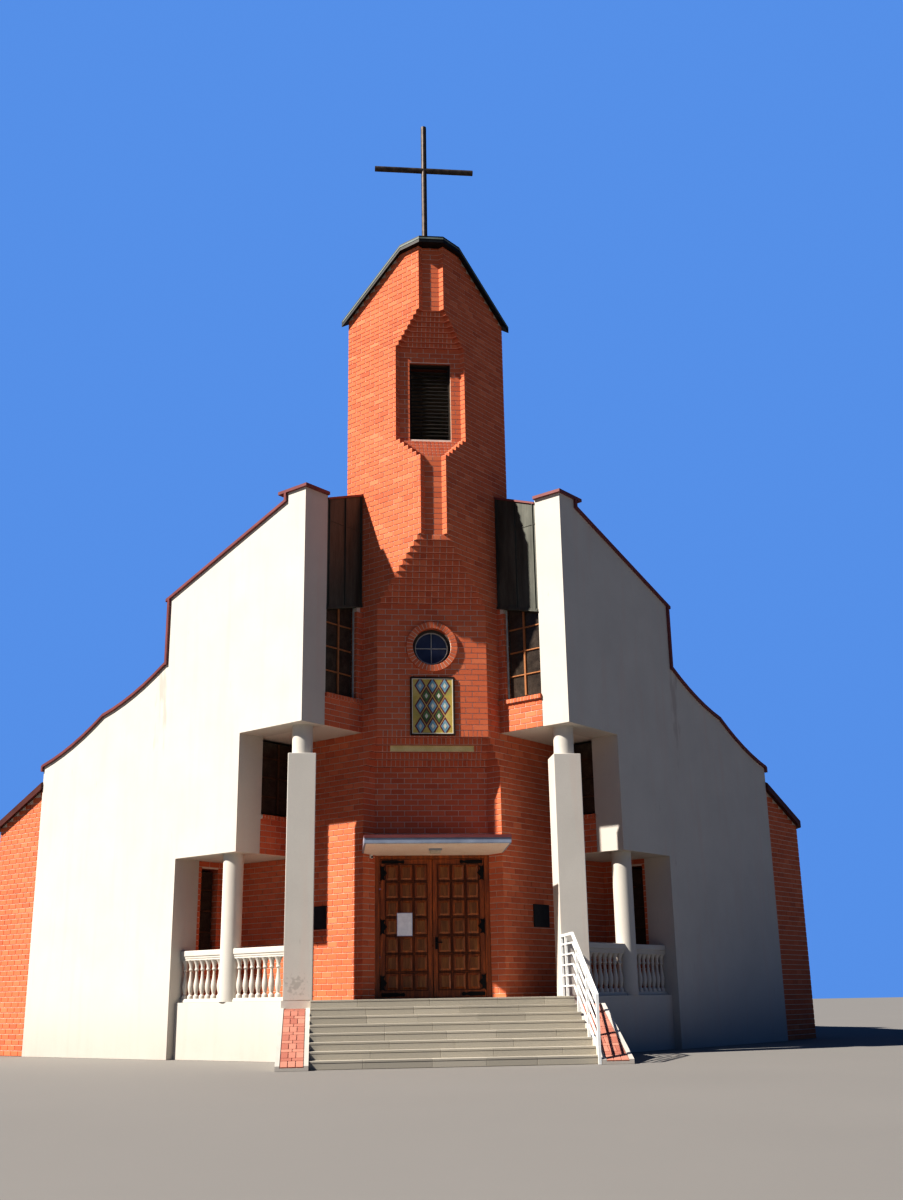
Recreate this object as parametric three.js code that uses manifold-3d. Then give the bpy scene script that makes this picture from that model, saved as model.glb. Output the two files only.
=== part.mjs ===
// A modern parish church: a brick bell tower on a square plan turned by 45 degrees, between white
// stucco walls that step out over round columns, with a diamond-shaped nave behind.
// Millimetres, +Z up. The front faces -Y. Plan measures are taken from the plan point below the
// tower's axis of symmetry, and the last lines move the origin to the middle of the footprint.

import * as THREE from "three";
import { mergeVertices } from "three/addons/utils/BufferGeometryUtils.js";
import Module from "manifold-3d";

const wasm = await Module();
wasm.setup();

// Plan
const SEAM = 0.3; // air between pieces that touch
const DIAGONAL = Math.SQRT1_2; // every oblique wall stands at 45 degrees
const WALL_CORNER_X = 2460; // front corner of each white wall
const WALL_CORNER_Y = 2000;
const WHITE_WALL = 600; // thickness of the white walls
const BAY_WIDTH = 1590; // from a white wall's outer face to the tower's side
const MID_SETBACK = 1660; // how far the middle storey stands back from the upper one
const GROUND_SETBACK = 3380; // and the ground storey
const WHITE_LENGTH = 8000; // length of a white wall
const CORNER_LENGTH = 9600; // from the front corner to the nave's side corner
const CORNER_INSET = 80; // the brick corner stands back from the white wall's face
const CORNER_WALL = 400; // thickness of the brick corner walls
const SIDE_HALF = 600; // half the length of the nave's short side wall
const BRICK_WALL = 380; // thickness of the tower's brickwork
const TOWER_HALF = 1630; // half the diagonal of the tower's square

// Heights
const FLOOR = 1000; // landing, terraces and nave floor
const MID_SOFFIT = 3640;
const TOP_SOFFIT = 5850;
const SLAB = 200; // floor slabs
const DOOR_HEAD = 3580; // underside of the wall over the door and of the canopy
const BAND_LOW = 5220; // corbel band under the front panel
const BAND_HIGH = 5720;
const PYRAMID_LOW = 8340; // stepped corbels that widen the tower's front corner
const PYRAMID_HIGH = 9520;
const SILL_LOW = 11170; // stepped sill of the belfry recess
const SILL_HIGH = 11650;
const HEAD_LOW = 13750; // stepped head of the belfry recess
const HEAD_HIGH = 14370;
const TOWER_RIDGE = 15970;
const ROOF_AT_TOWER = 10700; // the high nave roof's top where a bay's face meets the tower
const RIDGE_FLAT = 60; // half width of its level ridge

// Half widths of the tower's cut front corner
const DOOR_ARRIS = 1300;
const DOOR_REVEAL = 1075; // half width of the doorway
const DOOR_PLANE = 3313; // face of the wall over the door
const PANEL_ARRIS = 1050;
const CHANNEL_ARRIS = 250;
const BELFRY_ARRIS = 700;
const NOTCH = 80; // depth of the splayed reveals at the channel and the belfry
const BAND_COURSES = 4;
const PYRAMID_COURSES = 11;
const SILL_COURSES = 5;
const HEAD_COURSES = 7;

// Crest of a white wall, measured along it
const CAP_HIGH = 10470;
const CAP_END = 720;
const CAP_LIP = 60;
const SHOULDER = 560; // where the straight slope starts
const SHOULDER_HIGH = 10270;
const SLOPE_END = 4030;
const SLOPE_LOW = 8985;
const STEP_AT = 3970;
const STEP_LOW = 7630;
const KINK_AT = 5950;
const KINK_HIGH = 6855;
const CREST_END_HIGH = 6030;
const SAG = 90; // how far each curved stretch sags below its chord
const SCALLOP_STEPS = 6;
const COPING = 60; // thickness of the sheet-metal copings
const COPING_OUT = 50; // how far they stand out from the wall

// Derived plan points
const NOSE_Y = WALL_CORNER_Y - WALL_CORNER_X + 2 * BAY_WIDTH * DIAGONAL; // tower's front arris
const TOWER_Y = NOSE_Y + TOWER_HALF; // tower's axis
const CORNER_X = WALL_CORNER_X + (CORNER_LENGTH - CORNER_INSET) * DIAGONAL;
const CORNER_Y = WALL_CORNER_Y + (CORNER_LENGTH + CORNER_INSET) * DIAGONAL;
const MIRROR_Y = CORNER_Y + SIDE_HALF; // the nave's rear half mirrors its front half
const TOWER_SIDE_X = WALL_CORNER_X - BAY_WIDTH * DIAGONAL; // where a bay's face meets the tower
const TOWER_SIDE_Y = WALL_CORNER_Y + BAY_WIDTH * DIAGONAL;
const REAR_Y = 2 * MIRROR_Y - TOWER_SIDE_Y; // outer face of the rear wall
const REAR_WALL = 400;

// Steps
const RISERS = 8;
const RISER = FLOOR / RISERS;
const TREAD = 256;
const FLIGHT_HALF = 2220; // half width of the flight
const LANDING_EDGE_Y = 1340;
const CHEEK_OUTER = 2720;
const CHEEK_FOOT_Y = -620;

// A point in plan from its distance along a white wall and its depth in from the outer face.
function bay(along, depth) {
  return [
    WALL_CORNER_X + (along - depth) * DIAGONAL,
    WALL_CORNER_Y + (along + depth) * DIAGONAL,
  ];
}

// The y of the oblique line at a given depth, where it crosses x.
function lineAt(x, depth) {
  return x + WALL_CORNER_Y - WALL_CORNER_X + 2 * depth * DIAGONAL;
}

// Solids

function solidOf(geometry) {
  const bare = new THREE.BufferGeometry();
  const loose = geometry.index ? geometry.toNonIndexed() : geometry;
  bare.setAttribute("position", loose.getAttribute("position"));
  const merged = mergeVertices(bare, 1e-3);
  const vertProperties = new Float32Array(merged.attributes.position.array);
  const triVerts = new Uint32Array(merged.index.array);
  const solid = new wasm.Manifold(new wasm.Mesh({ numProp: 3, vertProperties, triVerts }));
  if (solid.volume() > 0) return solid;
  triVerts.reverse();
  return new wasm.Manifold(new wasm.Mesh({ numProp: 3, vertProperties, triVerts }));
}

function geometryOf(solid) {
  const mesh = solid.getMesh();
  const geometry = new THREE.BufferGeometry();
  const positions = new THREE.BufferAttribute(new Float32Array(mesh.vertProperties), 3);
  geometry.setAttribute("position", positions);
  geometry.setIndex(new THREE.BufferAttribute(new Uint32Array(mesh.triVerts), 1));
  return geometry;
}

function joined(solids) {
  return solids.reduce((whole, solid) => whole.add(solid));
}

function mirrored(solid) {
  const geometry = geometryOf(solid);
  geometry.scale(-1, 1, 1);
  return solidOf(geometry);
}

function mirroredInDepth(solid) {
  const geometry = geometryOf(solid);
  geometry.scale(1, -1, 1);
  geometry.translate(0, 2 * MIRROR_Y, 0);
  return solidOf(geometry);
}

function outline(points) {
  return new THREE.Shape(points.map(([x, y]) => new THREE.Vector2(x, y)));
}

// A plan outline raised from one height to another.
function prism(points, low, high) {
  const options = { depth: high - low, bevelEnabled: false };
  const geometry = new THREE.ExtrudeGeometry(outline(points), options);
  geometry.translate(0, 0, low);
  return solidOf(geometry);
}

function block(x0, x1, y0, y1, low, high) {
  const geometry = new THREE.BoxGeometry(x1 - x0, y1 - y0, high - low);
  geometry.translate((x0 + x1) / 2, (y0 + y1) / 2, (low + high) / 2);
  return solidOf(geometry);
}

// A flat outline drawn on two axes and thickened along the third.
function sheet(points, thickness, across, up, out, origin) {
  const options = { depth: thickness, bevelEnabled: false };
  const geometry = new THREE.ExtrudeGeometry(outline(points), options);
  const frame = new THREE.Matrix4().makeBasis(across, up, out);
  frame.setPosition(origin);
  geometry.applyMatrix4(frame);
  return solidOf(geometry);
}

const ALONG = new THREE.Vector3(DIAGONAL, DIAGONAL, 0); // along the right-hand white wall
const INWARD = new THREE.Vector3(-DIAGONAL, DIAGONAL, 0); // into its thickness
const RIGHT = new THREE.Vector3(1, 0, 0);
const BACK = new THREE.Vector3(0, 1, 0);
const UP = new THREE.Vector3(0, 0, 1);

// Points are (distance along the white wall, height).
function alongWall(points, depth0, depth1) {
  const [x, y] = bay(0, depth1);
  const out = INWARD.clone().negate();
  return sheet(points, depth1 - depth0, ALONG, UP, out, new THREE.Vector3(x, y, 0));
}

// Points are (depth from the white wall's outer face, height), as on the oblique window planes.
function acrossBay(points, along0, along1) {
  const [x, y] = bay(along0, 0);
  return sheet(points, along1 - along0, INWARD, UP, ALONG, new THREE.Vector3(x, y, 0));
}

// Points are (x, height), thickened from y0 back to y1.
function frontal(points, y0, y1) {
  return sheet(points, y1 - y0, RIGHT, UP, BACK.clone().negate(), new THREE.Vector3(0, y1, 0));
}

// Points are (y, height), thickened from x0 to x1.
function sideways(points, x0, x1) {
  return sheet(points, x1 - x0, BACK, UP, RIGHT, new THREE.Vector3(x0, 0, 0));
}

function rectangle(x0, x1, y0, y1) {
  return [
    [x0, y0],
    [x1, y0],
    [x1, y1],
    [x0, y1],
  ];
}

function both(points) {
  const left = points.map(([x, y]) => [-x, y]).reverse();
  return [...points, ...left];
}

// A turned shape about a vertical axis, from its radius and height pairs.
function turned(profile, sides, x, y, low) {
  const points = profile.map(([r, h]) => new THREE.Vector2(r, h));
  const geometry = new THREE.LatheGeometry(points, sides);
  geometry.rotateX(Math.PI / 2);
  geometry.translate(x, y, low);
  return solidOf(geometry);
}

function post(radius, sides, x, y, low, high) {
  return turned([[0, 0], [radius, 0], [radius, high - low], [0, high - low]], sides, x, y, low);
}

// The church

const church = new THREE.Group();

function finish(colour, roughness, metalness = 0) {
  return { color: colour, roughness, metalness };
}

const BRICK = finish("#a8482c", 0.9);
const STUCCO = finish("#e6e2da", 0.95);
const COPING_METAL = finish("#5b2f2b", 0.5, 0.3);
const DARK_SHEET = finish("#3c3a34", 0.55, 0.4);
const ROOF_SHEET = finish("#4a2e2a", 0.55, 0.3);
const GRANITE = finish("#9a9a90", 0.85);
const CONCRETE = finish("#cfc6b8", 0.9);
const OAK = finish("#6a3f1d", 0.5);
const BLACK_IRON = finish("#1d1c1b", 0.6, 0.6);
const WINDOW = finish("#8a6a3f", 0.4);
const WHITE_PAINT = finish("#f2f2ee", 0.5);
const SLATS = finish("#1b1b1c", 0.6, 0.2);
const CROSS_METAL = finish("#4c453f", 0.6, 0.5);
const PANEL_PAINT = finish("#c9b06a", 0.6);
const PLATE_METAL = finish("#8d7d3d", 0.5, 0.2);
const CANOPY_METAL = finish("#8c9aa6", 0.5, 0.2);
const FLOORING = finish("#8b8378", 0.8);

function add(name, solid, surface, parent = church) {
  const mesh = new THREE.Mesh(geometryOf(solid), new THREE.MeshStandardMaterial(surface));
  mesh.name = name;
  parent.add(mesh);
  return mesh;
}

function addPair(name, solid, surface) {
  add("right_" + name, solid, surface);
  add("left_" + name, mirrored(solid), surface);
}

// White walls and copings

// The height of the straight slope's upper edge at a distance along the wall.
function slopeAt(along) {
  const fall = (SHOULDER_HIGH - SLOPE_LOW) / (SLOPE_END - SHOULDER);
  return SHOULDER_HIGH - (along - SHOULDER) * fall;
}

function scallop(from, to) {
  const points = [];
  for (let i = 0; i <= SCALLOP_STEPS; i += 1) {
    const t = i / SCALLOP_STEPS;
    const chord = from[1] + (to[1] - from[1]) * t;
    points.push([from[0] + (to[0] - from[0]) * t, chord - 4 * SAG * t * (1 - t)]);
  }
  return points;
}

// The two curved stretches of the crest, out to the wall's end.
function scallops(drop) {
  const first = scallop([STEP_AT, STEP_LOW - drop], [KINK_AT, KINK_HIGH - drop]);
  const second = scallop([KINK_AT, KINK_HIGH - drop], [WHITE_LENGTH, CREST_END_HIGH - drop]);
  return [...first, ...second.slice(1)];
}

// The masonry's top edge, from its front corner outwards.
function masonryTop() {
  const lowered = COPING + SEAM;
  return [
    [0, CAP_HIGH - lowered],
    [SHOULDER - COPING, CAP_HIGH - lowered],
    [SHOULDER - COPING, slopeAt(SHOULDER - COPING) - lowered],
    [STEP_AT - COPING, slopeAt(STEP_AT - COPING) - lowered],
    [STEP_AT - COPING, STEP_LOW - lowered],
    ...scallops(lowered),
  ];
}

function whiteWall(stepped) {
  const foot = [
    [WHITE_LENGTH, 0],
    [GROUND_SETBACK, 0],
    [GROUND_SETBACK, MID_SOFFIT],
    [MID_SETBACK, MID_SOFFIT],
    [MID_SETBACK, TOP_SOFFIT],
    [0, TOP_SOFFIT],
  ];
  const plain = [
    [WHITE_LENGTH, 0],
    [0, 0],
  ];
  return alongWall([...masonryTop(), ...(stepped ? foot : plain)], 0, WHITE_WALL);
}

// The sheet-metal coping: a flat cap, a slope, a flashed step, two curves and a drip at the end.
function coping() {
  const drip = 2 * COPING;
  const outer = [
    [-CAP_LIP, CAP_HIGH],
    [CAP_END, CAP_HIGH],
    [CAP_END, CAP_HIGH - COPING],
    [SHOULDER, CAP_HIGH - COPING],
    [SHOULDER, SHOULDER_HIGH],
    [SLOPE_END, SLOPE_LOW],
    [SLOPE_END, SLOPE_LOW - COPING],
    [STEP_AT, slopeAt(STEP_AT) - COPING],
    ...scallops(0),
    [WHITE_LENGTH + COPING, CREST_END_HIGH - COPING / 2],
    [WHITE_LENGTH + COPING, CREST_END_HIGH - COPING / 2 - drip],
    [WHITE_LENGTH + SEAM, CREST_END_HIGH - COPING / 2 - drip],
  ];
  const inner = [
    ...scallops(COPING).reverse(),
    [STEP_AT - COPING + SEAM, STEP_LOW - COPING],
    [STEP_AT - COPING + SEAM, slopeAt(STEP_AT - COPING) - COPING],
    [SHOULDER - COPING + SEAM, slopeAt(SHOULDER - COPING) - COPING],
    [SHOULDER - COPING + SEAM, CAP_HIGH - COPING],
    [-CAP_LIP, CAP_HIGH - COPING],
  ];
  return alongWall([...outer, ...inner], -COPING_OUT, WHITE_WALL);
}

const frontWall = whiteWall(true);
const rearWall = mirroredInDepth(whiteWall(false));
const frontCoping = coping();
addPair("white_wall", frontWall, STUCCO);
addPair("rear_white_wall", rearWall, STUCCO);
addPair("coping", frontCoping, COPING_METAL);
addPair("rear_coping", mirroredInDepth(frontCoping), COPING_METAL);

// Nave roofs: a high one with a narrow ridge, and a low one over each side

const ROOF_DROP = 90; // the roofs lie just below the copings
const ROOF_THICK = 180;
const LOW_ROOF_THICK = 150;
const ROOF_EDGE_BACK = 100; // the high roof ends short of the copings' flashed step
const CLERESTORY_BACK = 60; // and its upright band stands back from that edge
const CLERESTORY = 200; // thickness of the upright band between the two roofs
const CORNER_ROOF_HIGH = 5650; // low roof where the white walls end
const CORNER_ROOF_LOW = 4900; // and at its eave
const CORNER_EAVE = 90;
const WINDOW_BACK = 70; // how far the windows and the roof stand back from a bay's face

// The x where a white wall's inner face is at a distance along it.
function innerX(along) {
  return WALL_CORNER_X + (along - WHITE_WALL) * DIAGONAL;
}

// The x of the inner face at a given y, on the front half.
function innerXAt(y) {
  return y - lineAt(0, WHITE_WALL + SEAM);
}

function reflected([x, y]) {
  return [x, 2 * MIRROR_Y - y];
}

function towerPlan(half) {
  return [
    [0, TOWER_Y - half],
    [half, TOWER_Y],
    [0, TOWER_Y + half],
    [-half, TOWER_Y],
  ];
}

const roofPitch = (SHOULDER_HIGH - SLOPE_LOW) / ((SLOPE_END - SHOULDER) * DIAGONAL);
const NAVE_RIDGE = ROOF_AT_TOWER + (TOWER_SIDE_X - RIDGE_FLAT) * roofPitch;
const roofEdgeX = innerX(STEP_AT) - ROOF_EDGE_BACK;
const clerestoryX = roofEdgeX - CLERESTORY_BACK;
const lowRoofStart = STEP_LOW - ROOF_DROP;
const roofRear = REAR_Y + COPING_OUT;

// The high roof's top at a given x.
function naveRoofZ(x) {
  return NAVE_RIDGE - Math.max(0, x - RIDGE_FLAT) * roofPitch;
}

function naveRoof() {
  const clerestoryInner = clerestoryX - CLERESTORY;
  const clerestoryFoot = lowRoofStart - LOW_ROOF_THICK;
  const profile = both([
    [RIDGE_FLAT, NAVE_RIDGE],
    [roofEdgeX, naveRoofZ(roofEdgeX)],
    [roofEdgeX, naveRoofZ(roofEdgeX) - ROOF_THICK],
    [clerestoryX, naveRoofZ(clerestoryX) - ROOF_THICK],
    [clerestoryX, clerestoryFoot],
    [clerestoryInner, clerestoryFoot],
    [clerestoryInner, naveRoofZ(clerestoryInner) - ROOF_THICK],
    [RIDGE_FLAT, NAVE_RIDGE - ROOF_THICK],
  ]);
  const plan = both([
    bay(WINDOW_BACK, BAY_WIDTH),
    bay(WINDOW_BACK, WHITE_WALL + SEAM),
    [roofEdgeX, lineAt(roofEdgeX, WHITE_WALL + SEAM)],
    reflected([roofEdgeX, lineAt(roofEdgeX, WHITE_WALL + SEAM)]),
    [innerXAt(2 * MIRROR_Y - roofRear), roofRear],
  ]);
  return frontal(profile, 0, 2 * MIRROR_Y)
    .intersect(prism(plan, 0, NAVE_RIDGE + 1))
    .subtract(prism(towerPlan(TOWER_HALF + SEAM), 0, TOWER_RIDGE));
}

add("nave_roof", naveRoof(), ROOF_SHEET);

const cornerEaveX = CORNER_X + CORNER_EAVE;

// The low roof's section across the nave, lowered by a drop.
function lowRoofLine(drop) {
  const curved = scallops(ROOF_DROP + drop).map(([along, z]) => [innerX(along), z]);
  return [
    [clerestoryX + SEAM, lowRoofStart - drop],
    ...curved,
    [WALL_CORNER_X + WHITE_LENGTH * DIAGONAL, CORNER_ROOF_HIGH - drop],
    [cornerEaveX, CORNER_ROOF_LOW - drop],
  ];
}

function lowerRoof() {
  const section = [...lowRoofLine(0), ...lowRoofLine(LOW_ROOF_THICK).reverse()];
  const halfPlan = [
    [clerestoryX, lineAt(clerestoryX, WHITE_WALL + SEAM)],
    bay(WHITE_LENGTH + SEAM, WHITE_WALL + SEAM),
    bay(WHITE_LENGTH + SEAM, -COPING_OUT),
    [cornerEaveX, lineAt(cornerEaveX, -COPING_OUT)],
  ];
  const plan = [...halfPlan, ...halfPlan.map(reflected).reverse()];
  const drip = alongWall(
    rectangle(WHITE_LENGTH, WHITE_LENGTH + COPING + SEAM, CORNER_ROOF_HIGH, CREST_END_HIGH),
    -2 * COPING_OUT,
    WHITE_WALL + SEAM,
  );
  return frontal(section, 0, 2 * MIRROR_Y)
    .intersect(prism(plan, 0, NAVE_RIDGE))
    .subtract(drip)
    .subtract(mirroredInDepth(drip));
}

addPair("lower_roof", lowerRoof(), ROOF_SHEET);

// Brick corners of the nave, up to the underside of the low roof

function brickCorner() {
  const inset = CORNER_INSET + CORNER_WALL;
  const innerFace = CORNER_X - CORNER_WALL;
  const outer = [bay(WHITE_LENGTH + SEAM, CORNER_INSET), [CORNER_X, CORNER_Y]];
  const inner = [[innerFace, lineAt(innerFace, inset)], bay(WHITE_LENGTH + SEAM, inset)];
  const plan = [
    ...outer,
    ...outer.map(reflected).reverse(),
    ...inner.map(reflected).reverse(),
    ...inner,
  ];
  const top = lowRoofLine(LOW_ROOF_THICK + SEAM);
  const foot = -SLAB;
  const below = [[top[0][0], foot], [cornerEaveX, foot], ...top.reverse()];
  const under = frontal(below, 0, 2 * MIRROR_Y);
  return prism(plan, 0, CREST_END_HIGH).intersect(under);
}

addPair("brick_corner", brickCorner(), BRICK);

// Rear wall with its two windows

const REAR_WINDOW_HALF = 900;
const UPPER_SILL = 6470;
const UPPER_HEAD = 8350;
const LOWER_SILL = 2100;
const LOWER_HEAD = 3980;
const FRAME = 70; // window frame width
const BAR = 45; // glazing bar width
const BAR_BACK = 8; // the bars stand back from the frame's faces
const PANE = 20; // glass thickness
const FRAME_DEEP = 70;

function rearWallSolid() {
  const frontMirror = 2 * MIRROR_Y - REAR_Y;
  const plan = both([
    [innerXAt(frontMirror), REAR_Y],
    [innerXAt(frontMirror + REAR_WALL), REAR_Y - REAR_WALL],
  ]);
  const drop = ROOF_THICK + SEAM;
  const under = both([
    [RIDGE_FLAT, NAVE_RIDGE - drop],
    [roofEdgeX, naveRoofZ(roofEdgeX) - drop],
    [roofEdgeX, 0],
  ]);
  const wall = prism(plan, 0, NAVE_RIDGE).intersect(frontal(under, 0, 2 * MIRROR_Y));
  const y0 = REAR_Y - 2 * REAR_WALL;
  const y1 = REAR_Y + REAR_WALL;
  const upper = block(-REAR_WINDOW_HALF, REAR_WINDOW_HALF, y0, y1, UPPER_SILL, UPPER_HEAD);
  const lower = block(-REAR_WINDOW_HALF, REAR_WINDOW_HALF, y0, y1, LOWER_SILL, LOWER_HEAD);
  return wall.subtract(upper).subtract(lower);
}

add("rear_wall", rearWallSolid(), BRICK);

// A glazed frame drawn flat: sheetMaker(points, near, far) thickens an outline.
function glazing(sheetMaker, x0, x1, low, high, columns, rows, near) {
  const far = near + FRAME_DEEP;
  const middle = near + FRAME_DEEP / 2;
  const grip = FRAME / 2; // how far the pane and the bars reach into the frame
  const paneOutline = rectangle(x0 + grip, x1 - grip, low + grip, high - grip);
  const pane = sheetMaker(paneOutline, middle, middle + PANE);
  const outer = sheetMaker(rectangle(x0, x1, low, high), near, far);
  const hole = rectangle(x0 + FRAME, x1 - FRAME, low + FRAME, high - FRAME);
  const pieces = [pane, outer.subtract(sheetMaker(hole, near - FRAME, far + FRAME))];
  for (let i = 1; i < columns; i += 1) {
    const x = x0 + ((x1 - x0) * i) / columns;
    const bar = rectangle(x - BAR / 2, x + BAR / 2, low + grip, high - grip);
    pieces.push(sheetMaker(bar, near + BAR_BACK, far - BAR_BACK));
  }
  for (let i = 1; i < rows; i += 1) {
    const z = low + ((high - low) * i) / rows;
    const bar = rectangle(x0 + grip, x1 - grip, z - BAR / 2, z + BAR / 2);
    pieces.push(sheetMaker(bar, near + BAR_BACK, far - BAR_BACK));
  }
  return joined(pieces);
}

const rearHalf = REAR_WINDOW_HALF - SEAM;
const rearGlassY = REAR_Y - REAR_WALL / 2;
const rearUpper = [UPPER_SILL + SEAM, UPPER_HEAD - SEAM];
const rearLower = [LOWER_SILL + SEAM, LOWER_HEAD - SEAM];
add("rear_upper_window", glazing(frontal, -rearHalf, rearHalf, ...rearUpper, 4, 4, rearGlassY), WINDOW);
add("rear_lower_window", glazing(frontal, -rearHalf, rearHalf, ...rearLower, 4, 4, rearGlassY), WINDOW);

// Bays between the white walls and the tower

const SPANDREL = 250; // thickness of the brick parapets under the windows
const MID_SILL = 4370;
const SILL_COURSE = 75;
const SILL_OUT = 45;
const JAMB = 150; // the upper window's brick jamb beside the tower
const CLADDING_LOW_TOWER = 8350; // the cladding's sloping lower edge, at the tower
const CLADDING_LOW_WALL = 8090; // and at the white wall
const UPSTAND = 30; // the cladding's upper edge stands above the roof
const bayNear = WHITE_WALL + SEAM;
const bayFar = BAY_WIDTH - SEAM;

function bayStorey(setback, soffit, sill, slabBack) {
  const parapet = rectangle(bayNear, bayFar, soffit, sill - SILL_COURSE);
  const ledge = rectangle(bayNear, bayFar, sill - SILL_COURSE, sill);
  return joined([
    acrossBay(parapet, setback, setback + SPANDREL),
    acrossBay(ledge, setback - SILL_OUT, setback + SPANDREL),
    acrossBay(rectangle(bayNear, bayFar, soffit, soffit + SLAB), setback, slabBack),
  ]);
}

// The height of the cladding's lower edge at a depth in from the white wall's outer face.
function claddingLow(depth) {
  const rise = (CLADDING_LOW_TOWER - CLADDING_LOW_WALL) / (BAY_WIDTH - WHITE_WALL);
  return CLADDING_LOW_WALL + (depth - WHITE_WALL) * rise;
}

// The brick jamb, cut back behind the cladding's lower edge.
function upperJamb() {
  const near = bayFar - JAMB;
  const front = [
    [near, UPPER_SILL],
    [bayFar, UPPER_SILL],
    [bayFar, claddingLow(bayFar) - 2 * SEAM],
    [near, claddingLow(near) - 2 * SEAM],
  ];
  return acrossBay(front, 0, SPANDREL)
    .add(acrossBay(rectangle(near, bayFar, UPPER_SILL, UPPER_HEAD), WINDOW_BACK, SPANDREL));
}

const upperBay = bayStorey(0, TOP_SOFFIT, UPPER_SILL, MID_SETBACK + SPANDREL).add(upperJamb());
addPair("upper_bay", upperBay, BRICK);
addPair("middle_bay", bayStorey(MID_SETBACK, MID_SOFFIT, MID_SILL, GROUND_SETBACK + BRICK_WALL), BRICK);

function bayWindow(far, setback, low, high) {
  return glazing(acrossBay, bayNear, far, low + SEAM, high - SEAM, 2, 4, setback + WINDOW_BACK);
}

addPair("upper_window", bayWindow(bayFar - JAMB - SEAM, 0, UPPER_SILL, UPPER_HEAD), WINDOW);
addPair("middle_window", bayWindow(bayFar, MID_SETBACK, MID_SILL, TOP_SOFFIT), WINDOW);

// Sheet-metal cladding in front of the roof's edge, down over the upper window's head.
function cladding() {
  const highAt = (depth) => naveRoofZ(WALL_CORNER_X - depth * DIAGONAL) + UPSTAND;
  return acrossBay([
    [bayNear, claddingLow(bayNear)],
    [bayFar, claddingLow(bayFar)],
    [bayFar, highAt(bayFar)],
    [bayNear, highAt(bayNear)],
  ], 0, WINDOW_BACK - SEAM);
}

addPair("cladding", cladding(), DARK_SHEET);

// Tower

// The tower's outline in plan with its front corner cut: arris and face are its half width and y.
function cutFront(arris, face) {
  const reach = WALL_CORNER_X + BAY_WIDTH;
  const inner = arris - (face - NOSE_Y - arris);
  return both([
    [inner, face],
    [arris, NOSE_Y + arris],
    [reach, NOSE_Y + reach],
    [reach, NOSE_Y + 2 * reach],
  ]);
}

// Bands of the front from the ground up: [low, high, arris, face].
function bands() {
  const list = [[0, BAND_LOW, DOOR_ARRIS, DOOR_PLANE]];
  const bandStep = (BAND_HIGH - BAND_LOW) / BAND_COURSES;
  for (let i = 0; i < BAND_COURSES; i += 1) {
    const t = (i + 1) / (BAND_COURSES + 1);
    const arris = DOOR_ARRIS + (PANEL_ARRIS - DOOR_ARRIS) * t;
    const face = DOOR_PLANE + (NOSE_Y + PANEL_ARRIS - DOOR_PLANE) * t;
    list.push([BAND_LOW + i * bandStep, BAND_LOW + (i + 1) * bandStep, arris, face]);
  }
  list.push([BAND_HIGH, PYRAMID_LOW, PANEL_ARRIS, NOSE_Y + PANEL_ARRIS]);
  const courseBands = (low, high, from, to, count, notch) => {
    for (let i = 0; i < count; i += 1) {
      const arris = from + ((to - from) * (i + 1)) / (count + 1);
      const z = low + ((high - low) * i) / count;
      list.push([z, z + (high - low) / count, arris, NOSE_Y + arris + notch]);
    }
  };
  courseBands(PYRAMID_LOW, PYRAMID_HIGH, PANEL_ARRIS, CHANNEL_ARRIS, PYRAMID_COURSES, 0);
  list.push([PYRAMID_HIGH, SILL_LOW, CHANNEL_ARRIS, NOSE_Y + CHANNEL_ARRIS + NOTCH]);
  courseBands(SILL_LOW, SILL_HIGH, CHANNEL_ARRIS, BELFRY_ARRIS, SILL_COURSES, NOTCH);
  list.push([SILL_HIGH, HEAD_LOW, BELFRY_ARRIS, NOSE_Y + BELFRY_ARRIS + NOTCH]);
  courseBands(HEAD_LOW, HEAD_HIGH, BELFRY_ARRIS, CHANNEL_ARRIS, HEAD_COURSES, NOTCH);
  list.push([HEAD_HIGH, TOWER_RIDGE, CHANNEL_ARRIS, NOSE_Y + CHANNEL_ARRIS + NOTCH]);
  return list;
}

// The brickwork between two faces: everything behind the front down to a depth of one wall.
function frontMass(from, to, setBack) {
  const slices = bands().filter(([low, high]) => low >= from && high <= to);
  const last = slices.length - 1;
  return joined(slices.map(([low, high, arris, face], i) => {
    const base = i === 0 ? from : low;
    const top = i === last ? to : high;
    const plan = cutFront(arris, face).map(([x, y]) => [x, y + setBack]);
    return prism(plan, base, top);
  }));
}

// Entrance storeys: two oblique walls, each with the outer wall of the ground storey beside it, and
// the wall over the doorway between them

const entranceMass = frontMass(0, BAND_HIGH, 0)
  .add(prism(cutFront(PANEL_ARRIS, NOSE_Y + PANEL_ARRIS), BAND_HIGH, TOP_SOFFIT));
const GROUND_WINDOW = [WHITE_WALL + 50, WHITE_WALL + 480, 1900, 3500]; // depth, then height
const obliqueBack = BAY_WIDTH + BRICK_WALL;

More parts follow.
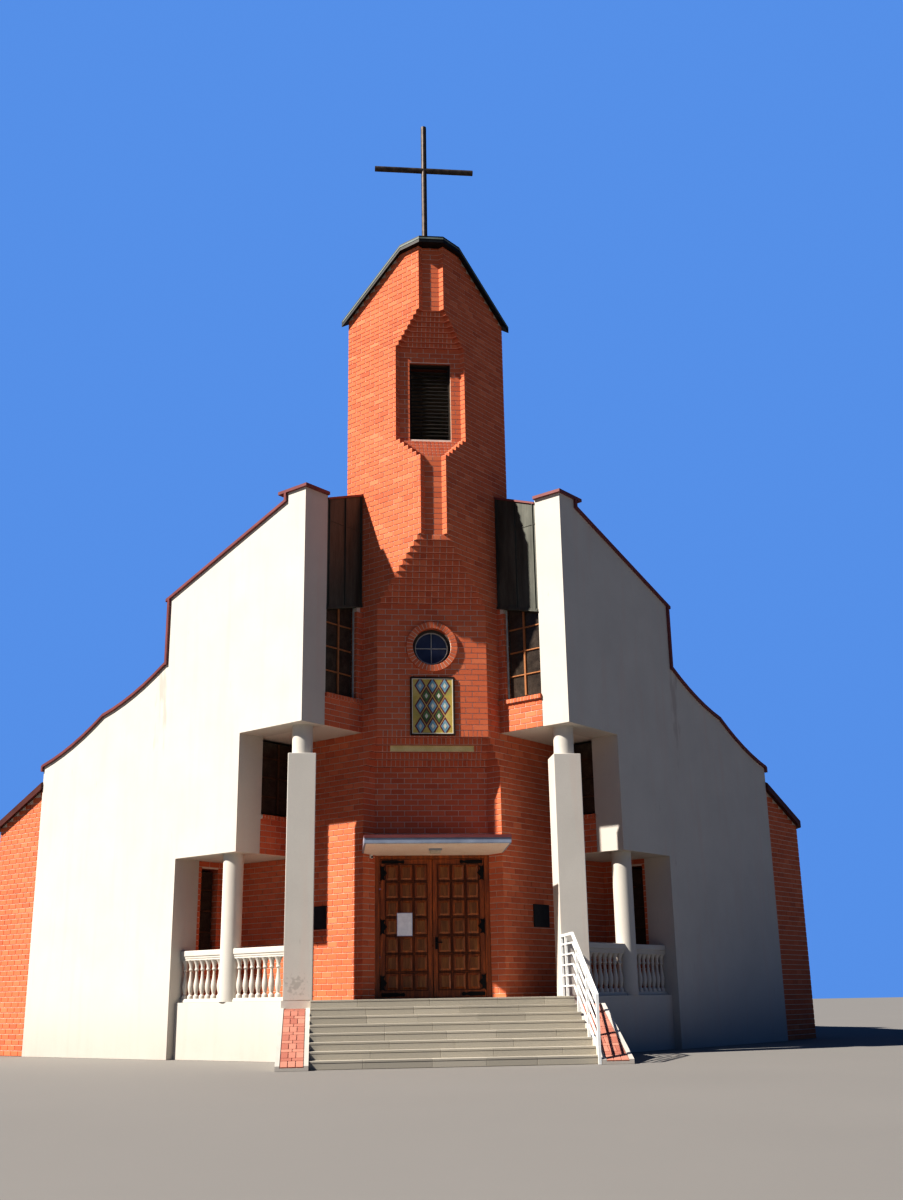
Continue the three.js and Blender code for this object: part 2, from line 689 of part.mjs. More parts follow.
function entranceWall() {
  const groundEnd = GROUND_SETBACK + BRICK_WALL;
  const ground = prism([
    [DOOR_ARRIS, lineAt(DOOR_ARRIS, BAY_WIDTH)],
    [DOOR_REVEAL, DOOR_PLANE],
    [DOOR_REVEAL, lineAt(DOOR_REVEAL, obliqueBack)],
    bay(groundEnd, obliqueBack),
    bay(groundEnd, bayNear),
    bay(GROUND_SETBACK, bayNear),
    bay(GROUND_SETBACK, BAY_WIDTH),
  ], 0, MID_SOFFIT - SEAM);
  const upper = prism([
    [DOOR_REVEAL, lineAt(DOOR_REVEAL, BAY_WIDTH)],
    [DOOR_REVEAL, lineAt(DOOR_REVEAL, obliqueBack)],
    bay(MID_SETBACK + SPANDREL, obliqueBack),
    bay(MID_SETBACK + SPANDREL, BAY_WIDTH),
  ], MID_SOFFIT - SPANDREL, TOP_SOFFIT - SEAM);
  const hole = acrossBay(rectangle(...GROUND_WINDOW), MID_SETBACK, 2 * GROUND_SETBACK);
  return ground.subtract(hole).add(upper.intersect(entranceMass));
}

addPair("entrance_wall", entranceWall(), BRICK);

const [gw0, gw1, gz0, gz1] = GROUND_WINDOW;
const groundWindow = glazing(
  acrossBay,
  gw0 + SEAM,
  gw1 - SEAM,
  gz0 + SEAM,
  gz1 - SEAM,
  1,
  4,
  GROUND_SETBACK + WINDOW_BACK,
);
addPair("ground_window", groundWindow, WINDOW);

const overDoorHalf = DOOR_REVEAL - SEAM;
const overDoorBox = block(
  -overDoorHalf,
  overDoorHalf,
  0,
  DOOR_PLANE + BRICK_WALL,
  DOOR_HEAD,
  TOP_SOFFIT - SEAM,
);
const overDoor = entranceMass.intersect(overDoorBox);
add("wall_over_door", overDoor, BRICK);

// Upper tower
const WINDOW_Z = 7480;
const WINDOW_R = 370;
const RING_R = 490;
const PANEL_SPLIT = PANEL_ARRIS - BRICK_WALL * (Math.SQRT2 - 1);
const CORNER_SPLIT = 640;
const LOUVRE_HALF = 420;
const LOUVRE_LOW = 11720;
const LOUVRE_HIGH = 13420;
const LOUVRE_BACK = 90; // how far the louvres stand back from the recess's face
const TOWER_EAVE = 160;
const ROOF_FLAT = 620; // half width of the level strip on the tower's roof
const TOWER_ROOF = 140;
const towerInner = TOWER_HALF - BRICK_WALL * Math.SQRT2;

// The tower roof's underside: level in the middle, falling at 45 degrees to both sides.
function towerRoofLine(drop) {
  const reach = TOWER_HALF + 3 * TOWER_EAVE;
  return both([
    [ROOF_FLAT, TOWER_RIDGE - drop],
    [reach, TOWER_RIDGE - drop - (reach - ROOF_FLAT)],
    [reach, TOP_SOFFIT],
  ]);
}

const upperMass = frontMass(BAND_HIGH, TOWER_RIDGE, 0);
const hollow = frontMass(BAND_HIGH, TOWER_RIDGE, BRICK_WALL)
  .intersect(prism(towerPlan(towerInner), 0, TOWER_RIDGE));
const shell = upperMass
  .intersect(prism(towerPlan(TOWER_HALF), TOP_SOFFIT, TOWER_RIDGE))
  .intersect(frontal(towerRoofLine(TOWER_ROOF + SEAM), 0, 2 * TOWER_Y))
  .subtract(hollow);

const split = PYRAMID_LOW;
const sideReach = 2 * TOWER_HALF;
const panelBox = block(-PANEL_SPLIT, PANEL_SPLIT, 0, TOWER_Y - SEAM, TOP_SOFFIT, split - SEAM);
const roundHole = new THREE.CylinderGeometry(WINDOW_R, WINDOW_R, 2 * TOWER_HALF, 32);
roundHole.translate(0, NOSE_Y, WINDOW_Z);
const windowHole = solidOf(roundHole);
const panelY = NOSE_Y + PANEL_ARRIS;
const RING_OUT = 50; // how far the ring of bricks round the window stands out
const ring = disc(RING_R, panelY - RING_OUT, panelY + 1);
add("tower_front_panel", shell.intersect(panelBox).add(ring).subtract(windowHole), BRICK);

const cornerBox = block(-CORNER_SPLIT, CORNER_SPLIT, 0, TOWER_Y - SEAM, split, TOWER_RIDGE);
const louvreHole = block(-LOUVRE_HALF, LOUVRE_HALF, 0, TOWER_Y, LOUVRE_LOW, LOUVRE_HIGH);
add("tower_front_corner", shell.intersect(cornerBox).subtract(louvreHole), BRICK);

const sideLow = block(PANEL_SPLIT + SEAM, sideReach, 0, TOWER_Y - SEAM, TOP_SOFFIT, split);
const sideHigh = block(CORNER_SPLIT + SEAM, sideReach, 0, TOWER_Y - SEAM, split, TOWER_RIDGE);
addPair("tower_front_wall", shell.intersect(sideLow.add(sideHigh)), BRICK);

const backBox = block(-sideReach, sideReach, TOWER_Y, 2 * TOWER_Y, TOP_SOFFIT, TOWER_RIDGE);
add("tower_back_walls", shell.intersect(backBox), BRICK);

// Tower roof, trimmed where the channel runs up to it
const roofFace = NOSE_Y + CHANNEL_ARRIS - TOWER_EAVE;
const towerRoof = frontal(towerRoofLine(0), 0, 2 * TOWER_Y)
  .subtract(frontal(towerRoofLine(TOWER_ROOF), -1, 2 * TOWER_Y + 1))
  .intersect(prism(towerPlan(TOWER_HALF + TOWER_EAVE), 0, TOWER_RIDGE + 1))
  .intersect(block(-sideReach, sideReach, roofFace, 2 * TOWER_Y, TOP_SOFFIT + 1, TOWER_RIDGE + 1));
add("tower_roof", towerRoof, ROOF_SHEET);

// Cross of two round tubes on a small base
const CROSS_R = 60;
const CROSS_HIGH = 19780;
const CROSS_ARM_Z = 18640;
const CROSS_ARM = 1090;
const CROSS_BASE_R = 130;
const CROSS_BASE = 40;
const armGeometry = new THREE.CylinderGeometry(CROSS_R, CROSS_R, 2 * CROSS_ARM, 16);
armGeometry.rotateZ(Math.PI / 2);
armGeometry.translate(0, TOWER_Y, CROSS_ARM_Z);
const crossFoot = TOWER_RIDGE + SEAM;
add("cross", joined([
  post(CROSS_R, 16, 0, TOWER_Y, crossFoot, CROSS_HIGH),
  solidOf(armGeometry),
  post(CROSS_BASE_R, 16, 0, TOWER_Y, crossFoot, crossFoot + CROSS_BASE),
]), CROSS_METAL);

// Belfry louvres
const SLAT_COUNT = 20;
const SLAT_DEEP = 90;
const louvreY = NOSE_Y + BELFRY_ARRIS + NOTCH + LOUVRE_BACK;

function louvres() {
  const half = LOUVRE_HALF - SEAM;
  const low = LOUVRE_LOW + SEAM;
  const high = LOUVRE_HIGH - SEAM;
  const rim = 45;
  const outer = frontal(rectangle(-half, half, low, high), louvreY, louvreY + SLAT_DEEP);
  const hole = rectangle(-half + rim, half - rim, low + rim, high - rim);
  const pieces = [outer.subtract(frontal(hole, louvreY - rim, louvreY + SLAT_DEEP + rim))];
  const pitch = (high - low - rim) / SLAT_COUNT;
  for (let i = 0; i < SLAT_COUNT; i += 1) {
    const z = low + rim / 2 + (i + 0.2) * pitch;
    const slat = [
      [louvreY + 5, z],
      [louvreY + SLAT_DEEP - 5, z + pitch * 0.6],
      [louvreY + SLAT_DEEP - 5, z + pitch * 0.6 + 14],
      [louvreY + 5, z + 14],
    ];
    pieces.push(sideways(slat, -half + 1, half - 1));
  }
  return joined(pieces);
}

add("belfry_louvres", louvres(), SLATS);

// Round window: a glazed disc with a cross
const RIM = 30;

function disc(radius, y0, y1, sides = 32) {
  const geometry = new THREE.CylinderGeometry(radius, radius, y1 - y0, sides);
  geometry.translate(0, (y0 + y1) / 2, WINDOW_Z);
  return solidOf(geometry);
}

const ROUND_RIM = 62;

function roundWindow() {
  const y = panelY + 110;
  const r = WINDOW_R - 1;
  const frame = disc(r, y, y + 60).subtract(disc(r - ROUND_RIM, y - 1, y + 61));
  return joined([
    frame,
    disc(r, y + 20, y + 32),
    block(-RIM / 2, RIM / 2, y, y + 60, WINDOW_Z - r + RIM / 2, WINDOW_Z + r - RIM / 2),
    block(-r + RIM / 2, r - RIM / 2, y, y + 60, WINDOW_Z - RIM / 2, WINDOW_Z + RIM / 2),
  ]);
}

add("round_window", roundWindow(), WINDOW);

// Panels and plates, all bare
const ICON_HALF = 425;
const ICON_LOW = 5745;
const ICON_HIGH = 6880;
const iconDeep = 45;
add("icon_panel", block(
  -ICON_HALF,
  ICON_HALF,
  panelY - SEAM - iconDeep,
  panelY - SEAM,
  ICON_LOW,
  ICON_HIGH,
), PANEL_PAINT);

const [plateLow, plateHigh, , plateFace] = bands()[3];
add("name_plate", block(-800, 800, plateFace - 16 - SEAM, plateFace - SEAM, plateLow + 5, plateHigh - 5), PLATE_METAL);

// Gallery floor inside, carried by the two oblique walls
const galleryFront = DOOR_PLANE + BRICK_WALL + SEAM;
const galleryRear = 5200;
const galleryDepth = BAY_WIDTH + BRICK_WALL + SEAM;
const galleryPlan = both([
  [galleryFront - lineAt(0, galleryDepth), galleryFront],
  [galleryRear - lineAt(0, galleryDepth), galleryRear],
]);
add("gallery_floor", prism(galleryPlan, TOP_SOFFIT - SLAB, TOP_SOFFIT - SEAM), CONCRETE);

// Columns
const PILLAR_X = 2440;
const PILLAR_HALF = 255; // half its width
const PILLAR_FRONT = 2220;
const PILLAR_BACK = 2840;
const PILLAR_HIGH = 5300; // a round column goes on from here to the wall
const COLUMN_R = 190;
const COLUMN_SIDES = 24;
// Balustrade on the terrace edge, with its front pillar and the round column between its two runs
const COLUMN_AT = 2060;
const RAIL_DEPTH = 310; // centre line, in from the white wall's outer face
const RAIL_FROM = 500; // the first run starts within the pillar
const FIRST_BALUSTER = 780;
const LAST_BALUSTER = GROUND_SETBACK - 75;
const RAIL_HALF = 85;
const RAIL_LOW = 1750;
const RAIL_HIGH = 1930;
const RAIL_STEP = 1820;
const BASE_HIGH = 1065;
const BALUSTER_PITCH = 168;
const BALUSTER_CLEAR = 265; // from the round column's axis to the balusters beside it
const BALUSTER = [
  [0, 0],
  [52, 0],
  [52, 70],
  [30, 95],
  [50, 200],
  [54, 260],
  [30, 420],
  [26, 520],
  [46, 570],
  [30, 600],
  [50, 640],
  [50, 705],
  [0, 705],
];

// One run between two distances along the wall, with its first and last balusters.
function railing(from, to, first, last) {
  const run = (halfWidth, low, high) =>
    alongWall(rectangle(from, to, low, high), RAIL_DEPTH - halfWidth, RAIL_DEPTH + halfWidth);
  const pieces = [
    run(RAIL_HALF - 10, FLOOR + SEAM, BASE_HIGH),
    run(RAIL_HALF - 30, RAIL_LOW, RAIL_STEP),
    run(RAIL_HALF, RAIL_STEP, RAIL_HIGH),
  ];
  const gaps = Math.round((last - first) / BALUSTER_PITCH);
  for (let i = 0; i <= gaps; i += 1) {
    const [x, y] = bay(first + ((last - first) * i) / gaps, RAIL_DEPTH);
    pieces.push(turned(BALUSTER, 8, x, y, BASE_HIGH - 10));
  }
  return joined(pieces);
}

function balustrade() {
  const [x, y] = bay(COLUMN_AT, RAIL_DEPTH);
  const pillarY = (PILLAR_FRONT + PILLAR_BACK) / 2;
  const foot = FLOOR + SEAM;
  return joined([
    block(
      PILLAR_X - PILLAR_HALF,
      PILLAR_X + PILLAR_HALF,
      PILLAR_FRONT,
      PILLAR_BACK,
      foot,
      PILLAR_HIGH,
    ),
    post(COLUMN_R, COLUMN_SIDES, PILLAR_X, pillarY, foot, TOP_SOFFIT - SEAM),
    post(COLUMN_R, COLUMN_SIDES, x, y, foot, MID_SOFFIT - SEAM),
    railing(RAIL_FROM, COLUMN_AT, FIRST_BALUSTER, COLUMN_AT - BALUSTER_CLEAR),
    railing(COLUMN_AT, GROUND_SETBACK - SEAM, COLUMN_AT + BALUSTER_CLEAR, LAST_BALUSTER),
  ]);
}

addPair("balustrade", balustrade(), STUCCO);

// Terraces, steps and cheeks
const TERRACE_DEPTH = 150; // its outer edge, in from the white wall's outer face
const terraceX = FLIGHT_HALF + SEAM;
const terracePlan = [
  [terraceX, PILLAR_FRONT],
  [CHEEK_OUTER, PILLAR_FRONT],
  [CHEEK_OUTER, lineAt(CHEEK_OUTER, TERRACE_DEPTH)],
  bay(GROUND_SETBACK - SEAM, TERRACE_DEPTH),
  bay(GROUND_SETBACK - SEAM, BAY_WIDTH - SEAM),
  [terraceX, lineAt(terraceX, BAY_WIDTH - SEAM)],
];
addPair("terrace", prism(terracePlan, 0, FLOOR), STUCCO);

const sillDepth = DOOR_PLANE + BRICK_WALL;
const landingBack = [
  [FLIGHT_HALF, lineAt(FLIGHT_HALF, BAY_WIDTH - SEAM)],
  [DOOR_ARRIS, lineAt(DOOR_ARRIS, BAY_WIDTH - SEAM)],
  [DOOR_REVEAL - SEAM, DOOR_PLANE - 1],
  [DOOR_REVEAL - SEAM, sillDepth],
];
const flight = [];
for (let i = 0; i < RISERS; i += 1) {
  const front = LANDING_EDGE_Y - (RISERS - 1 - i) * TREAD;
  const plan = both([[FLIGHT_HALF, front], ...landingBack]);
  flight.push(prism(plan, i * RISER, (i + 1) * RISER));
}
add("steps", joined(flight), GRANITE);

const CHEEK_TOP = 850;
const CHEEK_TOP_Y = 1280;
const CURB = 70;
const CURB_HIGH = 30;
const cheekBack = PILLAR_FRONT - SEAM;

function cheekProfile(rise) {
  return [
    [CHEEK_FOOT_Y, 0],
    [cheekBack, 0],
    [cheekBack, CHEEK_TOP + rise],
    [CHEEK_TOP_Y, CHEEK_TOP + rise],
    [CHEEK_FOOT_Y, 40 + rise],
  ];
}

addPair("cheek", joined([
  sideways(cheekProfile(0), FLIGHT_HALF + SEAM, CHEEK_OUTER),
  sideways(cheekProfile(CURB_HIGH), FLIGHT_HALF + SEAM, FLIGHT_HALF + SEAM + CURB),
  sideways(cheekProfile(CURB_HIGH), CHEEK_OUTER - CURB, CHEEK_OUTER),
]), BRICK);

// Hand rail on the right of the flight: a top rail and five lower bars on posts, in white steel
const RAIL_X = 2190;
const TUBE = 22; // half the section of the rail and its posts
const THIN = 13; // and of the lower bars
const RAIL_BEND_Y = 1200; // the rail is level from here to the pillar
const RAIL_BEND_Z = 2020;
const RAIL_FOOT_Y = CHEEK_FOOT_Y;
const RAIL_FOOT_Z = 1000;
const BAR_DROPS = [150, 325, 500, 675, 850]; // of the lower bars below the rail
const POST_AT = [120, 870, 1800]; // between the foot and the pillar
const railEndY = PILLAR_FRONT - SEAM;

function railHeight(y) {
  const fall = (RAIL_BEND_Z - RAIL_FOOT_Z) / (RAIL_BEND_Y - RAIL_FOOT_Y);
  return RAIL_BEND_Z - Math.max(0, RAIL_BEND_Y - y) * fall;
}

function stepHeight(y) {
  const index = Math.floor((y - LANDING_EDGE_Y) / TREAD) + RISERS;
  return Math.min(FLOOR, index * RISER);
}

function slopedRail(drop, half) {
  const line = [
    [RAIL_FOOT_Y, RAIL_FOOT_Z - drop],
    [RAIL_BEND_Y, RAIL_BEND_Z - drop],
    [railEndY, RAIL_BEND_Z - drop],
  ];
  const low = line.map(([y, z]) => [y, z - half]);
  const high = line.map(([y, z]) => [y, z + half]).reverse();
  return sideways([...low, ...high], RAIL_X - half, RAIL_X + half);
}

function handRail() {
  const upright = (y, foot) =>
    block(RAIL_X - TUBE, RAIL_X + TUBE, y - TUBE, y + TUBE, foot, railHeight(y));
  return joined([
    slopedRail(0, TUBE),
    ...BAR_DROPS.map((drop) => slopedRail(drop, THIN)),
    upright(RAIL_FOOT_Y + TUBE, 0),
    ...POST_AT.map((y) => upright(y, stepHeight(y - TUBE) + SEAM)),
    upright(railEndY - TUBE, FLOOR + SEAM),
  ]);
}

add("hand_rail", handRail(), WHITE_PAINT);

// Nave floor inside the walls
const floorRight = [
  [DOOR_REVEAL - SEAM, sillDepth + SEAM],
  [sillDepth + SEAM - lineAt(0, galleryDepth), sillDepth + SEAM],
  bay(GROUND_SETBACK + BRICK_WALL + SEAM, galleryDepth),
  bay(GROUND_SETBACK + BRICK_WALL + SEAM, WHITE_WALL + SEAM),
  bay(WHITE_LENGTH + SEAM, WHITE_WALL + SEAM),
  bay(WHITE_LENGTH + SEAM, CORNER_INSET + CORNER_WALL + SEAM),
  [CORNER_X - CORNER_WALL - SEAM, lineAt(CORNER_X - CORNER_WALL - SEAM, CORNER_INSET + CORNER_WALL + SEAM)],
];
const floorRear = [
  ...floorRight.slice(4).map(([x, y]) => [x, 2 * MIRROR_Y - y]).reverse(),
  [2 * MIRROR_Y - REAR_Y + REAR_WALL - lineAt(0, WHITE_WALL + SEAM), REAR_Y - REAR_WALL - SEAM],
];
add("nave_floor", prism(both([...floorRight, ...floorRear]), FLOOR - SLAB, FLOOR), FLOORING);

// Canopy over the door
const CANOPY_HALF = 1320;
const CANOPY_FRONT = 2000;
const CANOPY_RISE = 70; // the soffit rises from the wall to the front
const FASCIA = 140;
const canopyBack = [
  [CANOPY_HALF, lineAt(CANOPY_HALF, BAY_WIDTH - SEAM)],
  [DOOR_ARRIS, lineAt(DOOR_ARRIS, BAY_WIDTH - SEAM)],
  [DOOR_REVEAL - SEAM, DOOR_PLANE - 1],
];
const canopyPlan = both([[CANOPY_HALF, CANOPY_FRONT], ...canopyBack]);
const canopyTop = sideways([
  [CANOPY_FRONT, DOOR_HEAD + CANOPY_RISE],
  [DOOR_PLANE, DOOR_HEAD],
  [DOOR_PLANE, DOOR_HEAD + CANOPY_RISE + FASCIA],
  [CANOPY_FRONT, DOOR_HEAD + CANOPY_RISE + FASCIA],
], -CANOPY_HALF, CANOPY_HALF);
add("canopy", canopyTop.intersect(prism(canopyPlan, DOOR_HEAD, DOOR_HEAD + 2 * FASCIA)), CANOPY_METAL);

// Door: a frame and two leaves that turn outwards on barrel hinges at their front outer edges
const FRAME_Y = 3325;
const FRAME_THICK = 100;
const HINGE_X = 970;
const HINGE_Y = 3322; // just in front of the frame's face, so that the open leaf clears it
const LEAF_MEET = 5; // half of the gap between the leaves
const LEAF_THICK = 60;
const LEAF_LOW = 1012;
const LEAF_HIGH = 3494;
const RUNNING = 8; // from the hinge axis to the frame
const BARREL_HIGH = 140;
const BARREL_SIDES = 16;
const BARREL_AT = [260, 1170, 2080]; // foot of each barrel above the leaf's foot
const frameOuter = DOOR_REVEAL - SEAM;
const frameInner = HINGE_X + RUNNING;
const frameRect = rectangle(-frameOuter, frameOuter, FLOOR + SEAM, DOOR_HEAD - SEAM);
const frameHole = rectangle(-frameInner, frameInner, 0, LEAF_HIGH + RUNNING);
const doorFrame = frontal(frameRect, FRAME_Y, FRAME_Y + FRAME_THICK)
  .subtract(frontal(frameHole, FRAME_Y - 1, FRAME_Y + FRAME_THICK + 1));
add("door_frame", doorFrame, OAK);

const leafWidth = HINGE_X - LEAF_MEET;
const rightHinge = new THREE.Group();
rightHinge.position.set(HINGE_X, HINGE_Y, LEAF_LOW);
church.add(rightHinge);
const leftHinge = new THREE.Group();
leftHinge.position.set(-HINGE_X, HINGE_Y, LEAF_LOW);
church.add(leftHinge);
const rightLeaf = joined([
  block(-leafWidth, 0, 0, LEAF_THICK, 0, LEAF_HIGH - LEAF_LOW),
  ...BARREL_AT.map((z) => post(RUNNING - SEAM, BARREL_SIDES, 0, 0, z, z + BARREL_HIGH)),
]);
add("right_door_leaf", rightLeaf, OAK, rightHinge);
add("left_door_leaf", mirrored(rightLeaf), OAK, leftHinge);

// Lever handle with its plate, on the leaf that opens first
const HANDLE_IN = 60; // from the meeting edge
const HANDLE_Z = 985 - LEAF_LOW + FLOOR;
const handleX = -leafWidth + HANDLE_IN;
const leverGrip = block(handleX - 8, handleX + 105, -58, -42, HANDLE_Z - 9, HANDLE_Z + 9);
const leverNeck = block(handleX - 8, handleX + 8, -50, -8, HANDLE_Z - 8, HANDLE_Z + 8);
const leverPlate = block(handleX - 22, handleX + 22, -9, -SEAM, HANDLE_Z - 120, HANDLE_Z + 90);
add("door_handle", joined([leverGrip, leverNeck, leverPlate]), BLACK_IRON, rightHinge);

// The origin goes to the middle of the footprint, at the foot of the steps' level.
const rearMost = 2 * MIRROR_Y - WALL_CORNER_Y + (CAP_LIP + COPING_OUT) * DIAGONAL;
church.position.y = -(CHEEK_FOOT_Y + rearMost) / 2;

export default church;
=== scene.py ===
import math

import bmesh
import bpy
import numpy as np
from mathutils import Matrix, Vector


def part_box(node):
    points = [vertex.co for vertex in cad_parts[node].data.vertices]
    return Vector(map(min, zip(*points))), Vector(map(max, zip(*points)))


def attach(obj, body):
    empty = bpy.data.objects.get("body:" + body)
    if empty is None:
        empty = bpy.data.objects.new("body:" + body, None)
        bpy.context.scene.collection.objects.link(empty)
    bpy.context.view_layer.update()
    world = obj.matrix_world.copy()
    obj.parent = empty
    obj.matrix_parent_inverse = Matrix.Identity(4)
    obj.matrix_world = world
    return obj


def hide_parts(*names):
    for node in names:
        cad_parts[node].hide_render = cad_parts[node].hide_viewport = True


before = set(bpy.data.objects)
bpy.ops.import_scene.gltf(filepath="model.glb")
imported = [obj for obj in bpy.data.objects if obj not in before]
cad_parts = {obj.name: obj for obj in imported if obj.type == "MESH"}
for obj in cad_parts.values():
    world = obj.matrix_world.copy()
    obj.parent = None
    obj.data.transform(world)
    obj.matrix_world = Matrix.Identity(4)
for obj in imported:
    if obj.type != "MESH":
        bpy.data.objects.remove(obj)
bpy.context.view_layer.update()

bl_info = {
    "name": "Parish church looks",
    "version": (1, 0, 0),
    "blender": (4, 5, 0),
    "location": "View3D > Sidebar > Church",
    "description": "Brickwork, glazing, joinery and finishes of a modern parish church",
    "category": "Object",
}

# Measures of the solid model, in metres. Depths, named Y, count from a line across the steps, and
# PLAN_Y moves them into the shared frame.
PLAN_Y = -8.17368
DIAGONAL = math.sqrt(0.5)  # the walls stand at 45 degrees
WALL_CORNER = (2.46, 2.0)  # the right-hand white wall's front corner
WHITE_WALL = 0.6
BAY_WIDTH = 1.59
MID_SETBACK = 1.66
GROUND_SETBACK = 3.38
FLOOR = 1.0
MID_SOFFIT = 3.64
TOP_SOFFIT = 5.85
MID_SILL = 4.37
UPPER_SILL = 6.47
UPPER_HEAD = 8.35
UPPER_JAMB = 1.4397
DOOR_HEAD = 3.58
NOSE_Y = WALL_CORNER[1] - WALL_CORNER[0] + 2 * BAY_WIDTH * DIAGONAL
TOWER_Y = NOSE_Y + 1.63
TOWER_SIDE_X = WALL_CORNER[0] - BAY_WIDTH * DIAGONAL
TOWER_SIDE_Y = NOSE_Y + TOWER_SIDE_X
CORNER_Y = WALL_CORNER[1] + 9.68 * DIAGONAL
MIRROR_Y = CORNER_Y + 0.6
REAR_Y = 2 * MIRROR_Y - TOWER_SIDE_Y
PANEL_Y = NOSE_Y + 1.05
ROUND_Z = 7.48
RING_INNER = 0.368
RING_OUTER = 0.494
RIDGE_FLAT = 0.06
ROOF_PITCH = 0.52371
RIDGE_Z = 10.7 + (TOWER_SIDE_X - RIDGE_FLAT) * ROOF_PITCH
LEAF_Y = 3.322  # the outer face of the door's leaves
RAIL_DEPTH = 0.31  # the balustrades' middle line, in from a white wall's outer face
COLUMN_AT = 2.06  # the low column, along that line
RING_BRICKS = 38
ROUND_STEPS = 48  # sides of the round window and the columns
COLUMN_RADIUS = 0.19
WINDOW_INSET = 0.07  # from the wall's face to the window's, and the depth of its frame
STEP_COUNT, STEP_RISE, STEP_TREAD = 8, 0.125, 0.256
STEP_FRONT, STEP_HALF = 1.34, 2.22  # the top step's front edge, and half the flight's width
SEAM = 0.0003  # keeps a piece off the solid beside it

# Brick courses between the masonry's levels: foot, top and number of courses
COURSES = [
    (0.0, MID_SOFFIT, 34), (MID_SOFFIT, 4.295, 6), (4.295, 5.22, 9), (5.22, 5.72, 4),
    (5.72, TOP_SOFFIT, 1), (TOP_SOFFIT, 8.34, 23), (8.34, 9.52, 11), (9.52, 11.17, 15),
    (11.17, 11.65, 5), (11.65, 13.75, 20), (13.75, 14.37, 7), (14.37, 16.0, 15),
]
# Bands of the front faces whose bricks stand upright or show their ends: foot, top and pitch
END_BANDS = [
    (5.22, TOP_SOFFIT, 0.0854), (8.34, 9.52, 0.128), (11.17, 11.65, 0.08), (13.75, 14.37, 0.088),
]
SHORTEST = 0.045  # a cut brick is at least this long
THINNEST = 0.025  # and at least this high
LEDGE = 0.08  # a lower plane is one step of a corbel
END_PITCH = 0.08  # of the bricks that show their ends in it
EASE = 0.0025  # a brick's face is this much smaller at each edge than its back
SAMPLE = 0.0004  # how far inside a course its outline is read

SIDES = (("right", 1), ("left", -1))
UPRIGHT = Matrix.Rotation(math.radians(90), 4, "X")  # lifts an outline drawn in x and y
MATERIALS = {}


def linear(code):
    """A hex colour as the linear values that a shader takes."""
    channels = [int(code[i:i + 2], 16) / 255 for i in (1, 3, 5)]
    return [c / 12.92 if c <= 0.04045 else ((c + 0.055) / 1.055) ** 2.4 for c in channels]


def colour_property(name, description, code):
    return bpy.props.FloatVectorProperty(
        name=name, description=description, default=linear(code), size=3, min=0, max=1,
        subtype="COLOR")


def length_property(name, description, value):
    return bpy.props.FloatProperty(
        name=name, description=description, default=value, min=0, subtype="DISTANCE",
        unit="LENGTH")


class BrickworkSettings(bpy.types.PropertyGroup):
    length: length_property("Brick pitch", "One brick with its joint, along the wall", 0.2561)
    joint: length_property("Joint", "Width of the mortar joints", 0.011)
    proud: length_property("Proud", "How far the bricks stand out from the joints", 0.009)
    deep: colour_property("Deep brick", "Darkest bricks", "#c36a4b")
    middle: colour_property("Brick", "Most of the bricks", "#d57a55")
    pale: colour_property("Pale brick", "Lightest bricks", "#e28c66")
    mortar: colour_property("Mortar", "Joints", "#e6d6c8")


class GlazingSettings(bpy.types.PropertyGroup):
    frame_width: length_property("Frame", "Width of the outer frame", 0.06)
    bar_width: length_property("Bars", "Width of the glazing bars", 0.028)
    post_width: length_property("Mullion", "Width of the middle post", 0.045)
    frame_colour: colour_property("Frame", "Paint of the outer frame", "#3a2c22")
    bar_colour: colour_property("Bars", "Paint of the bars", "#a9744a")
    # the panes' colour holds a painted shade of the room behind and a painted reflection
    pane_and_reflection_colour: colour_property("Glass", "Tint of the panes", "#4a423b")


class JoinerySettings(bpy.types.PropertyGroup):
    across: bpy.props.IntProperty(name="Across", description="Panels across a leaf", default=3)
    up: bpy.props.IntProperty(name="Up", description="Panels up a leaf", default=7)
    oak: colour_property("Oak", "Varnished oak of the door", "#a25a24")
    iron: colour_property("Iron", "Painted iron fittings", "#191716")


class MasonrySettings(bpy.types.PropertyGroup):
    stucco: colour_property("Stucco", "White walls, pillars and balustrades", "#cdc8bf")
    stain: colour_property("Stain", "Rain marks on the white walls", "#cdb3a6")
    granite: colour_property("Granite", "Blocks of the steps", "#b9b2a4")
    coping: colour_property("Coping", "Painted sheet of the copings", "#84504f")


class StageSettings(bpy.types.PropertyGroup):
    floor: colour_property("Floor", "Studio floor", "#87837e")
    backdrop: colour_property("Backdrop", "Studio background", "#6c9fe8")
    key: bpy.props.FloatProperty(name="Key", description="Strength of the key light", default=6.0)
    fill: bpy.props.FloatProperty(name="Fill", description="Light from the background", default=0.22)
    shown: bpy.props.FloatProperty(name="Shown", description="Background as it shows", default=0.72)


# Plan helpers

def bay(along, depth, side=1):
    """A point in plan from its distance along a white wall and its depth in from the outer face."""
    x = WALL_CORNER[0] + (along - depth) * DIAGONAL
    return Vector((side * x, WALL_CORNER[1] + (along + depth) * DIAGONAL + PLAN_Y, 0))


def facing(origin, outward):
    """A place whose x runs to the right on a wall seen from outside, y into it and z up."""
    n = Vector(outward).normalized()
    x = Vector((0, 0, 1)).cross(n)
    place = Matrix((x, -n, (0, 0, 1))).transposed().to_4x4()
    place.translation = origin
    return place


def roof_height(x):
    """The top of the nave's roof at a distance from its ridge."""
    return RIDGE_Z - max(0.0, abs(x) - RIDGE_FLAT) * ROOF_PITCH


# Mesh helpers

def paint(faces, index):
    for face in faces:
        face.material_index = index


def faces_of(verts):
    return list({face for vert in verts for face in vert.link_faces})


def edges_of(verts):
    return list({edge for vert in verts for edge in vert.link_edges})


